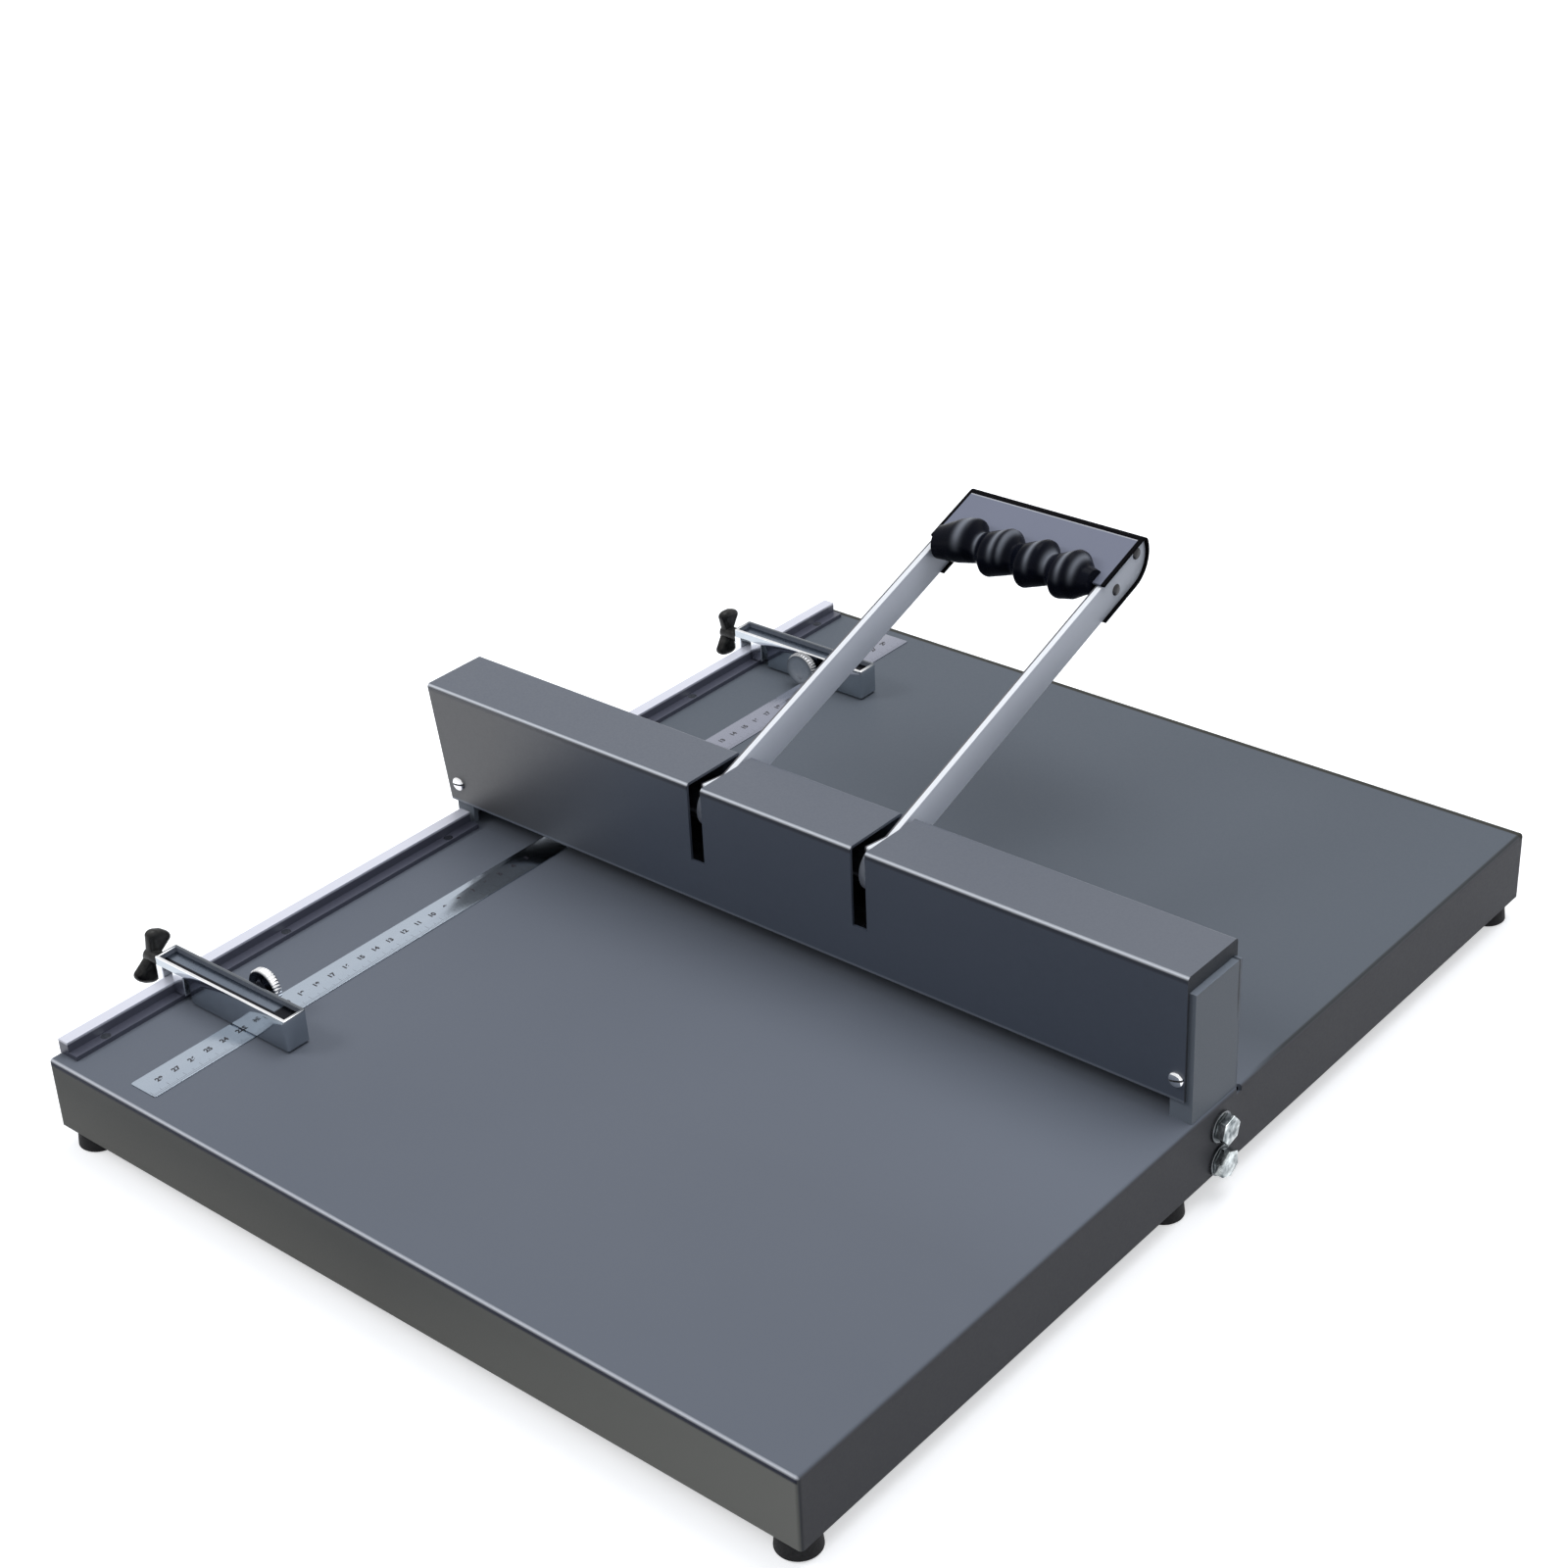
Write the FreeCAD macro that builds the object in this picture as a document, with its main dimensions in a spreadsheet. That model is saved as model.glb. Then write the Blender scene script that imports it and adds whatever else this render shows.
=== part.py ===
import FreeCAD, Part
import math
import os
import re

import Sketcher

# Desktop paper creasing machine, in millimetres.
# Origin: on the surface the machine stands on, under the middle of the bridge and of the overall width.
# +X runs along the crease to the operator's right, +Y away from the operator, +Z up.

doc = FreeCAD.newDocument("paper_creaser")
sheet = doc.addObject("Spreadsheet::Sheet", "Sizes")
V = FreeCAD.Vector

# ---------------------------------------------------------------- driving dimensions
SIZES = {
    # table: folded sheet tray with a skirt and a return flange
    "table_width": 472,
    "table_depth": 603,
    "table_offset": 6.5,
    "skirt_height": 39,
    "sheet_gauge": 1.5,
    "table_bend": 2,
    "return_flange": 34,
    "table_left": "table_offset - table_width / 2",
    "table_right": "table_offset + table_width / 2",
    "table_rear": "table_depth / 2",
    # feet
    "foot_height": 12,
    "foot_radius": 10.5,
    "foot_waist": 9.3,
    "foot_inset": 12,
    "middle_foot_setback": 25,
    "foot_screw_radius": 2.5,
    "foot_head_radius": 5,
    "foot_head_height": 3,
    "foot_recess": 5,
    "foot_recess_gap": 0.3,
    "foot_edge": 0.8,
    "foot_screw_end": 1,
    "foot_nut_height": 4,
    "foot_nut_radius": 4.6,
    "foot_left": "table_left + foot_inset",
    "foot_right": "table_right - foot_inset",
    "foot_rear": "table_rear - foot_inset",
    "flange_top": "foot_height + sheet_gauge",
    "table_top": "foot_height + skirt_height",
    # bridge cover: folded sheet open at the bottom, with a short lip above the right upright
    "cover_left_overhang": 16.5,
    "cover_right_inset": 5,
    "cover_rake": 10,
    "cover_depth": 41.2,
    "cover_rise": 79.3,
    "cover_clearance": 11.5,
    "cover_gauge": 1.5,
    "cover_bend": 2,
    "cover_lip_gap": 0.5,
    "slot_width": 9,
    "slot_front_bottom": 35,
    "cover_left": "table_left - cover_left_overhang",
    "cover_right": "table_right - cover_right_inset",
    "cover_front": "cover_depth / 2",
    "cover_inside": "cover_depth / 2 - cover_gauge",
    # uprights: bent plates that carry the shaft and guide the press beam
    "upright_web": 4,
    "upright_flange": 12,
    "upright_flange_gauge": 3,
    "upright_top_gap": 7.3,
    "upright_fit": 0.1,
    "upright_foot_gap": 0.5,
    "slot_relief_radius": 2,
    "upright_rise": "cover_rise - cover_gauge - upright_top_gap",
    "upright_half": "cover_inside - upright_fit",
    "guide_half": "upright_half - upright_flange_gauge",
    "right_web_face": "table_right - sheet_gauge",
    "right_web_inner": "right_web_face - upright_web",
    "left_web_inner": "table_left",
    "left_web_face": "table_left - upright_web",
    # upright bolts: hexagon heads with washers, into the bed beam's ends
    "bolt_radius": 4,
    "bolt_end_gap": 0.5,
    "bolt_head_height": 5.3,
    "bolt_head_radius": 7.5,
    "washer_radius": 8,
    "washer_gauge": 1.6,
    "bolt_back": 3,
    "bolt_upper_drop": 13,
    "bolt_lower_drop": 32,
    # cover screws, pan heads
    "cover_screw_radius": 2,
    "cover_screw_head": 4,
    "cover_screw_dome": 2,
    "left_cover_screw_inset": 4.3,
    "right_cover_screw_inset": 8,
    "cover_screw_rise": 23,
    # side rail: upstand and ledge, one length in front of the bridge and one behind it
    "rail_width": 13,
    "rail_setback": 0.8,
    "rail_upstand_width": 7,
    "rail_upstand_height": 8.2,
    "rail_ledge_height": 2.5,
    "rail_end_gap": 7,
    "rail_bridge_gap": 1.4,
    "rail_screw_radius": 1.5,
    "rail_screw_head": 2.6,
    "rail_screw_head_height": 1.2,
    "rail_screw_sink": 0.1,
    "rail_screw_depth": 5.5,
    "rail_screw_margin": 20,
    "rail_left": "table_left + rail_setback",
    "rail_step": "rail_left + rail_upstand_width",
    "rail_right": "rail_left + rail_width",
    "rail_near": "cover_front + rail_bridge_gap",
    "rail_far": "table_rear - rail_end_gap",
    # steel rules on the table
    "rule_inset": 59.3,
    "rule_width": 18.5,
    "rule_gauge": 0.5,
    "rule_near": 8,
    "rule_end_gap": 10.5,
    "rule_centre": "table_left + rule_inset",
    "rule_far": "table_rear - rule_end_gap",
    # creasing tools
    "anvil_width": 12,
    "anvil_height": 6,
    "anvil_fit": 0.2,
    "groove_width": 2,
    "groove_depth": 1.5,
    "blade_gauge": 1,
    "blade_gap": 5.5,
    "crease_margin": 1,
    "crease_left": "rail_right",
    "crease_right": "right_web_face - upright_flange - crease_margin",
    "bolt_thread": "right_web_inner - crease_right - bolt_end_gap",
    # bed beam under the table
    "bed_half": 15,
    "bed_wall": 5,
    "bed_deck": 10,
    "bed_end": 20,
    "bed_left": "table_left + sheet_gauge",
    "bed_top": "table_top - sheet_gauge",
    "anvil_screw_radius": 2,
    "anvil_screw_head": 3.5,
    "anvil_screw_head_height": 3,
    "anvil_screw_bite": 4,
    "anvil_screw_margin": 30,
    # press beam, moved down by the cams
    "stroke": 5.8,
    "beam_bottom": 20,
    "beam_height": 18,
    "beam_half": 9,
    "rabbet_height": 10,
    "clamp_gauge": 5,
    "clamp_screw_radius": 2,
    "clamp_screw_head": 3.5,
    "clamp_screw_head_height": 2.5,
    "clamp_screw_bite": 6,
    "clamp_screw_margin": 25,
    "guide_clearance": 0.3,
    "guide_screw_radius": 2,
    "guide_screw_head": 3.5,
    "guide_screw_head_height": 4,
    "guide_screw_bite": 12,
    "guide_screw_back": 4.8,
    "guide_screw_margin": 1,
    "beam_low": "table_top + beam_bottom",
    "beam_top": "beam_low + beam_height",
    "rabbet_top": "beam_low + rabbet_height",
    # return springs
    "spring_coil_radius": 3,
    "spring_wire_radius": 0.5,
    "spring_turns": 6,
    "spring_web_gap": 0.7,
    "spring_end_gap": 0.1,
    # cross shaft, bearings and collars
    "shaft_radius": 8,
    "shaft_rise": 58,
    "shaft_end_gap": 0.3,
    "running_gap": 0.05,
    "bearing_half": 11,
    "bearing_width": 8,
    "collar_radius": 13,
    "collar_width": 8,
    "collar_gap": 0.3,
    "shaft_level": "table_top + shaft_rise",
    "bearing_bore": "shaft_radius + running_gap",
    "shaft_left": "left_web_inner + shaft_end_gap",
    "shaft_right": "right_web_inner - shaft_end_gap",
    # handle: two arms that lean back at rest
    "handle_centre": -1.6,
    "arm_spacing": 105,
    "arm_gauge": 4,
    "arm_lean": 19.7,
    "arm_above": 14.5,
    "arm_below": 4.5,
    "arm_hub_radius": 12,
    "arm_hub_width": 14,
    "arm_end_gap": 0.2,
    "shoulder_along": -5.5,
    "shoulder_above": 21.8,
    "shoulder_end": 9,
    "handle_range": 150,
    "left_arm_centre": "handle_centre - arm_spacing / 2",
    "right_arm_centre": "handle_centre + arm_spacing / 2",
    # handle head: sheet wrapped round the arms' ends
    "head_side_margin": 1.5,
    "head_gauge": 1.5,
    "head_top_length": 42,
    "head_bottom_length": 47.5,
    "head_opening_setback": 27,
    "head_length": 241,
    "head_corner": 4,
    "head_back_radius": 17.5,
    "cheek_length": 35,
    "cheek_height": 15,
    "rivet_radius": 2,
    "rivet_head_radius": 3.2,
    "rivet_head_height": 1.2,
    "rivet_far_setback": 10,
    "rivet_far_above": 10.5,
    "rivet_near_setback": 32,
    "rivet_near_above": 4,
    "head_width": "arm_spacing + arm_gauge + 2 * head_side_margin",
    "head_top_start": "head_length - head_top_length",
    "head_bottom_start": "head_length - head_bottom_length",
    "head_opening_back": "head_length - head_opening_setback",
    "cheek_start": "head_length - cheek_length",
    "rivet_far_along": "head_length - rivet_far_setback",
    "rivet_near_along": "head_length - rivet_near_setback",
    # finger grip on the head's front edge
    "grip_lobes": 4,
    "grip_crest_radius": 13.5,
    "grip_valley_radius": 9.5,
    "grip_flank": 0.2,
    "grip_end_gap": 0.3,
    "grip_slot_gap": 0.05,
    "grip_setback": 2,
    # cams: involutes of a base circle that gives the stroke over the handle's range
    "cam_spacing": 280,
    "cam_gauge": 10,
    "cam_hub_width": 10,
    "cam_start": 10,
    "cam_gap": 0.3,
    "cam_pad_margin": 3,
    "cam_pad_half": 8,
    "pin_radius": 2,
    "cam_base": "stroke / (handle_range * pi / 180)",
    "left_cam_centre": "handle_centre - cam_spacing / 2",
    "right_cam_centre": "handle_centre + cam_spacing / 2",
    # paper stops on the rail
    "stop_setback": 72.5,
    "stop_half": 7,
    "stop_floor_gap": 0.8,
    "stop_top": 19,
    "stop_length": 97.5,
    "stop_step_gap": 4,
    "stop_ledge": 14.5,
    "stop_tray_depth": 3,
    "stop_tray_rim": 2,
    "jaw_outer_bottom": 2,
    "jaw_inner_bottom": 3,
    "jaw_gap": 0.3,
    "jaw_outer_width": 5,
    "jaw_inner_width": 8.4,
    "stud_radius": 2.5,
    "stud_rail_gap": 0.3,
    "stud_gap": 0.05,
    "knob_hub_radius": 6,
    "knob_start_gap": 0.3,
    "knob_reach": 15.4,
    "wing_reach": 14.5,
    "wing_tip_half": 6,
    "wing_root_half": 3.5,
    "wing_gauge": 6.5,
    "front_wing_turn": 30,
    "rear_wing_turn": 10,
    "thumb_inset": 58.7,
    "thumb_rise": 12.5,
    "thumb_radius": 10.2,
    "thumb_width": 5,
    "thumb_neck_radius": 4.5,
    "thumb_neck": 4.6,
    "thumb_thread_radius": 3,
    "thumb_thread": 8,
    "thumb_gap": 0.05,
    "thumb_hole_end": 0.5,
    "thumb_edge": 0.8,
    "stop_centre": "rail_far - stop_setback",
    "stop_left": "rail_left - jaw_gap - jaw_outer_width",
    "stop_step": "rail_step + jaw_gap + jaw_inner_width + stop_step_gap",
    "stop_right": "stop_left + stop_length",
    "stud_rise": "rail_upstand_height + stud_rail_gap + stud_radius",
    "knob_outer": "stop_left - knob_reach",
    "thumb_centre": "stop_left + thumb_inset",
}


def fill_sheet():
    """One row of the sheet per size: its name in column A, its value or formula in column B."""
    for row, (name, value) in enumerate(SIZES.items(), 1):
        sheet.set(f"A{row}", name)
        sheet.set(f"B{row}", f"={value}" if isinstance(value, str) else str(value))
        sheet.setAlias(f"B{row}", name)
    doc.recompute()


def bound(text):
    """The same expression with every size's name pointing into the sheet."""
    return re.sub(r"[a-z][a-z_]+", lambda word: ("Sizes." if word.group() in SIZES else "") + word.group(), text)


def bind(thing, prop, text):
    thing.setExpression(prop, bound(str(text)))


def size(text):
    """The present value of an expression of sizes, for shapes that Part's functions make."""
    values = {name: float(getattr(sheet, name)) for name in SIZES if name in text}
    for name in values:
        text = re.sub(rf"\b{name}\b", f"({values[name]!r})", text)
    return float(FreeCAD.Units.Quantity(text).Value)


# ---------------------------------------------------------------- building blocks
SUBPARTS = []


def label(thing, node):
    """Marks a finished sub-part: its label is the name of its node and its file."""
    thing.Label = node
    SUBPARTS.append(thing)
    return thing


def box(name, x, y, z):
    """A block between two expressions on each axis."""
    block = doc.addObject("Part::Box", name)
    for prop, axis, (low, high) in (("Length", "x", x), ("Width", "y", y), ("Height", "z", z)):
        bind(block, prop, f"({high}) - ({low})")
        bind(block, f"Placement.Base.{axis}", low)
    return block


TURNS = {
    "X": FreeCAD.Rotation(V(0, 1, 0), 90),
    "Y": FreeCAD.Rotation(V(1, 0, 0), -90),
    "Z": FreeCAD.Rotation(),
}
ACROSS = {"X": ("y", "z"), "Y": ("x", "z"), "Z": ("x", "y")}


def rod(name, axis, radius, span, centre, kind="Part::Cylinder"):
    """A cylinder or a hexagonal prism along one axis, from span[0] to span[1]."""
    piece = doc.addObject(kind, name)
    piece.Placement.Rotation = TURNS[axis]
    bind(piece, "Radius" if kind == "Part::Cylinder" else "Circumradius", radius)
    bind(piece, "Height", f"({span[1]}) - ({span[0]})")
    bind(piece, f"Placement.Base.{axis.lower()}", span[0])
    for across, place in zip(ACROSS[axis], centre):
        bind(piece, f"Placement.Base.{across}", place)
    return piece


def hexagon(name, axis, radius, span, centre):
    return rod(name, axis, radius, span, centre, "Part::Prism")


def join(name, pieces):
    whole = doc.addObject("Part::MultiFuse", name)
    whole.Shapes = pieces
    whole.Refine = True
    return whole


def group(name, pieces):
    """Identical fasteners, each its own solid."""
    whole = doc.addObject("Part::Compound", name)
    whole.Links = pieces
    return whole


def cut(name, base, tools):
    """The base less every tool, one cut after another."""
    for number, tool in enumerate(tools):
        result = doc.addObject("Part::Cut", f"{name}_cut{number}")
        result.Base = base
        result.Tool = tool
        base = result
    return base


def body(name):
    return doc.addObject("PartDesign::Body", name)


def outline(owner, name, plane, corners):
    """A closed sketch of straight lines on one of the body's origin planes, its corners bound to the sheet."""
    sketch = owner.newObject("Sketcher::SketchObject", name)
    face = [item for item in owner.Origin.OriginFeatures if item.Role == plane][0]
    sketch.AttachmentSupport = [(face, "")]
    sketch.MapMode = "FlatFace"
    places = [(size(a), size(b)) for a, b in corners]
    count = len(places)
    for this in range(count):
        start, end = places[this], places[(this + 1) % count]
        sketch.addGeometry(Part.LineSegment(V(*start, 0), V(*end, 0)), False)
    for this in range(count):
        sketch.addConstraint(Sketcher.Constraint("Coincident", this, 2, (this + 1) % count, 1))
    for this in range(count):
        for way in (0, 1):
            kind = ("DistanceX", "DistanceY")[way]
            number = sketch.addConstraint(Sketcher.Constraint(kind, -1, 1, this, 1, places[this][way]))
            sketch.setExpression(f"Constraints[{number}]", bound(corners[this][way]))
    return sketch


def pad(owner, name, sketch, length, both_ways=False):
    feature = owner.newObject("PartDesign::Pad", name)
    feature.Profile = sketch
    feature.Midplane = both_ways
    bind(feature, "Length", length)
    sketch.Visibility = False
    return feature


def turned(owner, name, sketch):
    """A full revolution about the sketch's horizontal axis."""
    feature = owner.newObject("PartDesign::Revolution", name)
    feature.Profile = sketch
    feature.ReferenceAxis = (sketch, ["H_Axis"])
    feature.Angle = 360
    sketch.Visibility = False
    return feature


def rounded(owner, name, radius, wanted):
    """Rounds the straight edges of a body that `wanted` picks from their middle point and direction."""
    doc.recompute()
    base = owner.Tip
    edges = []
    for number, edge in enumerate(base.Shape.Edges, 1):
        direction = (edge.Vertexes[-1].Point - edge.Vertexes[0].Point).normalize()
        if wanted(edge.CenterOfMass, direction):
            edges.append(f"Edge{number}")
    feature = owner.newObject("PartDesign::Fillet", name)
    feature.Base = (base, edges)
    bind(feature, "Radius", radius)
    return feature


def rectangle(x, y):
    return [(x[0], y[0]), (x[1], y[0]), (x[1], y[1]), (x[0], y[1])]


fill_sheet()

# ---------------------------------------------------------------- table
# A folded tray, open underneath inside its return flange. The vertical and top edges are bends.
table = body("table_block")
pad(table, "table_pad", outline(table, "table_plan", "XY_Plane", rectangle(
    ("table_left", "table_right"), ("-table_rear", "table_rear"))), "skirt_height")
bind(table, "Placement.Base.z", "foot_height")
doc.recompute()

rounded(table, "table_bends", "table_bend", lambda middle, direction:
        middle.z > size("skirt_height") - 1 or abs(direction.z) > 0.9)

RAIL_SCREWS = [
    f"{sign}({place})" for sign in "-+"
    for place in ("rail_near + rail_screw_margin", "(rail_near + rail_far) / 2", "rail_far - rail_screw_margin")
]
RAIL_SCREW_X = "(rail_step + rail_right) / 2"
FEET = {
    "front_left": ("foot_left", "-foot_rear"),
    "front_right": ("foot_right", "-foot_rear"),
    "middle_left": ("foot_left", "-middle_foot_setback"),
    "middle_right": ("foot_right", "-middle_foot_setback"),
    "rear_left": ("foot_left", "foot_rear"),
    "rear_right": ("foot_right", "foot_rear"),
}
BOLT_LEVELS = ("table_top - bolt_upper_drop", "table_top - bolt_lower_drop")

table_holes = [
    box("table_cavity", ("table_left + sheet_gauge", "table_right - sheet_gauge"),
        ("-table_rear + sheet_gauge", "table_rear - sheet_gauge"), ("flange_top", "bed_top")),
    box("table_mouth", ("table_left + return_flange", "table_right - return_flange"),
        ("-table_rear + return_flange", "table_rear - return_flange"), ("foot_height - 1", "flange_top + 1")),
    box("anvil_slot", ("crease_left - anvil_fit", "crease_right + anvil_fit"),
        ("-anvil_width / 2 - anvil_fit", "anvil_width / 2 + anvil_fit"), ("bed_top - 1", "table_top + 1")),
    box("upright_slot", ("right_web_inner - anvil_fit", "right_web_face"),
        ("-upright_half - anvil_fit", "upright_half + anvil_fit"), ("bed_top - 1", "table_top + 1")),
    rod("slot_relief", "Z", "slot_relief_radius", ("bed_top - slot_relief_radius", "table_top + 1"),
        ("table_right", "upright_half + anvil_fit")),
]
for number, level in enumerate(BOLT_LEVELS):
    table_holes.append(rod(f"skirt_hole{number}", "X", "bolt_radius",
                           ("table_left - 1", "table_right + 1"), ("bolt_back", level)))
for place, (x, y) in FEET.items():
    table_holes.append(rod(f"{place}_flange_hole", "Z", "foot_screw_radius",
                           ("foot_height - 1", "flange_top + 1"), (x, y)))
for number, y in enumerate(RAIL_SCREWS):
    table_holes.append(rod(f"rail_hole{number}", "Z", "rail_screw_radius",
                           ("bed_top - 1", "table_top + 1"), (RAIL_SCREW_X, y)))
label(cut("table", table, table_holes), "table_tray")

# ---------------------------------------------------------------- feet
# A rubber foot is a low cone with a recess below for the screw's head.
FOOT_PROFILE = [
    ("0", "foot_head_radius + foot_recess_gap"), ("0", "foot_radius - foot_edge"), ("foot_edge", "foot_radius"),
    ("foot_height", "foot_waist"), ("foot_height", "foot_screw_radius"),
    ("foot_recess", "foot_screw_radius"), ("foot_recess", "foot_head_radius + foot_recess_gap"),
]
foot_screws = []
foot_nuts = []
for place, (x, y) in FEET.items():
    foot = body(f"{place}_foot_body")
    turned(foot, f"{place}_foot_turn", outline(foot, f"{place}_foot_profile", "XY_Plane", FOOT_PROFILE))
    foot.Placement.Rotation = FreeCAD.Rotation(V(0, 1, 0), -90)
    bind(foot, "Placement.Base.x", x)
    bind(foot, "Placement.Base.y", y)
    label(foot, f"{place}_foot")
    foot_screws.append(join(f"{place}_foot_screw", [
        rod(f"{place}_screw_head", "Z", "foot_head_radius", ("foot_recess - foot_head_height", "foot_recess"), (x, y)),
        rod(f"{place}_screw_shank", "Z", "foot_screw_radius",
            ("foot_recess", "flange_top + foot_nut_height + foot_screw_end"), (x, y)),
    ]))
    foot_nuts.append(cut(f"{place}_foot_nut", hexagon(
        f"{place}_nut_block", "Z", "foot_nut_radius", ("flange_top", "flange_top + foot_nut_height"), (x, y)),
        [rod(f"{place}_nut_hole", "Z", "foot_screw_radius", ("flange_top - 1", "flange_top + foot_nut_height + 1"),
             (x, y))]))
label(group("foot_screw_group", foot_screws), "foot_screws")
label(group("foot_nut_group", foot_nuts), "foot_nuts")

# ---------------------------------------------------------------- uprights
# A web with two inward flanges. The left one is bolted outside the skirt, the right one inside it.
SIDES = {
    "left": {"face": "left_web_face", "inner": "left_web_inner", "inward": "+"},
    "right": {"face": "right_web_face", "inner": "right_web_inner", "inward": "-"},
}


def span(start, inward, length):
    """An expression pair that runs inward from `start` by `length`, low end first."""
    far = f"{start} {inward} ({length})"
    return (start, far) if inward == "+" else (far, start)


upright_bolts = []
washers = []
cover_screws = []
cover_holes = []
for side, at in SIDES.items():
    face, inward = at["face"], at["inward"]
    outward = "-" if inward == "+" else "+"
    head_face = "left_web_face" if side == "left" else "table_right"
    tall = ("table_top", "table_top + upright_rise")
    screw_x = f"{face} {inward} {side}_cover_screw_inset"
    plates = [box(f"{side}_web", span(face, inward, "upright_web"), ("-upright_half", "upright_half"),
                  ("flange_top + upright_foot_gap", tall[1]))]
    holes = []
    for way, sign in (("front", "-"), ("rear", "+")):
        depth = ("-upright_half", "-guide_half") if way == "front" else ("guide_half", "upright_half")
        plates.append(box(f"{side}_{way}_flange", span(face, inward, "upright_flange"), depth, tall))
        level = "table_top + cover_screw_rise"
        inside, outside = f"{sign}guide_half", f"{sign}cover_front"
        shank = (outside, inside) if way == "front" else (inside, outside)
        dome = (f"{outside} - cover_screw_dome", outside) if way == "front" else (
            outside, f"{outside} + cover_screw_dome")
        holes.append(rod(f"{side}_{way}_screw_hole", "Y", "cover_screw_radius", shank, (screw_x, level)))
        cover_holes.append(rod(f"{side}_{way}_cover_hole", "Y", "cover_screw_radius", shank, (screw_x, level)))
        cover_screws.append(join(f"{side}_{way}_cover_screw", [
            rod(f"{side}_{way}_screw_shank", "Y", "cover_screw_radius", shank, (screw_x, level)),
            rod(f"{side}_{way}_screw_dome", "Y", "cover_screw_head", dome, (screw_x, level)),
        ]))
    for number, level in enumerate(BOLT_LEVELS):
        centre = ("bolt_back", level)
        reach = "washer_gauge + upright_web + sheet_gauge + bolt_thread"
        top = f"{head_face} {outward} washer_gauge"
        holes.append(rod(f"{side}_bolt_hole{number}", "X", "bolt_radius", span(face, inward, "upright_web"), centre))
        upright_bolts.append(join(f"{side}_bolt{number}", [
            hexagon(f"{side}_bolt_head{number}", "X", "bolt_head_radius",
                    span(top, outward, "bolt_head_height"), centre),
            rod(f"{side}_bolt_shank{number}", "X", "bolt_radius", span(top, inward, reach), centre),
        ]))
        ring = span(head_face, outward, "washer_gauge")
        washers.append(cut(f"{side}_washer{number}", rod(
            f"{side}_washer_disc{number}", "X", "washer_radius", ring, centre),
            [rod(f"{side}_washer_hole{number}", "X", "bolt_radius", ring, centre)]))
    label(cut(f"{side}_upright_plate", join(f"{side}_plates", plates), holes), f"{side}_upright")

    block = span(at["inner"], inward, "bearing_width")
    label(cut(f"{side}_bearing_block", box(
        f"{side}_bearing_body", block, ("-bearing_half", "bearing_half"),
        ("shaft_level - bearing_half", "shaft_level + bearing_half")),
        [rod(f"{side}_bore", "X", "bearing_bore", block, ("0", "shaft_level"))]), f"{side}_bearing")
label(group("upright_bolt_group", upright_bolts), "upright_bolts")
label(group("washer_group", washers), "upright_washers")
label(group("cover_screw_group", cover_screws), "cover_screws")

# ---------------------------------------------------------------- bridge cover
# Folded sheet: top, front and back. The left end is cut on a slant, and two slots let the arms swing.
cover = body("cover_block")
pad(cover, "cover_pad", outline(cover, "cover_front_view", "XZ_Plane", [
    ("cover_left", "cover_rise"), ("cover_left + cover_rake", "cover_clearance"),
    ("cover_right", "cover_clearance"), ("cover_right", "cover_rise")]), "cover_depth", both_ways=True)
bind(cover, "Placement.Base.z", "table_top")
rounded(cover, "cover_bends", "cover_bend", lambda middle, direction:
        abs(direction.x) > 0.9 and middle.z > size("cover_rise") - 1)
cover_holes.append(box("cover_inside_space", ("cover_left - 1", "cover_right + 1"), ("-cover_inside", "cover_inside"),
                       ("table_top + cover_clearance - 1", "table_top + upright_rise + cover_lip_gap")))
# Above the right upright the sheet is turned down at its end, so the inside stops short of it.
cover_holes.append(box("cover_top_space", ("cover_left - 1", "cover_right - cover_gauge"),
                       ("-cover_inside", "cover_inside"),
                       ("table_top + upright_rise", "table_top + cover_rise - cover_gauge")))
REAR_SLOT_BOTTOM = ("shaft_level + cover_inside * tan(arm_lean * 1 deg)"
                    " - arm_below / cos(arm_lean * 1 deg) - jaw_gap")
for side in SIDES:
    centre = f"{side}_arm_centre"
    across = (f"{centre} - slot_width / 2", f"{centre} + slot_width / 2")
    top = "table_top + cover_rise + 1"
    cover_holes.append(box(f"{side}_front_slot", across, ("-cover_front - 1", "0"),
                           ("table_top + slot_front_bottom", top)))
    cover_holes.append(box(f"{side}_rear_slot", across, ("0", "cover_front + 1"), (REAR_SLOT_BOTTOM, top)))
label(cut("cover", cover, cover_holes), "bridge_cover")

# ---------------------------------------------------------------- bed beam and anvil
# The beam closes the span under the table and carries the grooved anvil, flush with the table's top.
ANVIL_SCREWS = [
    f"crease_left + anvil_screw_margin + {number} * (crease_right - crease_left - 2 * anvil_screw_margin) / 4"
    for number in range(5)
]
anvil_low = "table_top - anvil_height"
deck_low = "bed_top - bed_deck"
bed_holes = [
    box("bed_hollow", ("bed_left + bed_end", "right_web_inner - bed_end"),
        ("-bed_half + bed_wall", "bed_half - bed_wall"), ("flange_top - 1", deck_low)),
    box("bed_groove", ("crease_left", "crease_right"), ("-anvil_width / 2", "anvil_width / 2"),
        (anvil_low, "bed_top + 1")),
]
for number, level in enumerate(BOLT_LEVELS):
    bed_holes.append(rod(f"bed_left_thread{number}", "X", "bolt_radius",
                         ("bed_left - 1", "bed_left + bolt_thread"), ("bolt_back", level)))
    bed_holes.append(rod(f"bed_right_thread{number}", "X", "bolt_radius",
                         ("right_web_inner - bolt_thread", "right_web_inner + 1"), ("bolt_back", level)))
anvil_holes = [box("crease_groove", ("crease_left - 1", "crease_right + 1"), ("-groove_width / 2", "groove_width / 2"),
                   ("table_top - groove_depth", "table_top + 1"))]
anvil_screws = []
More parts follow.
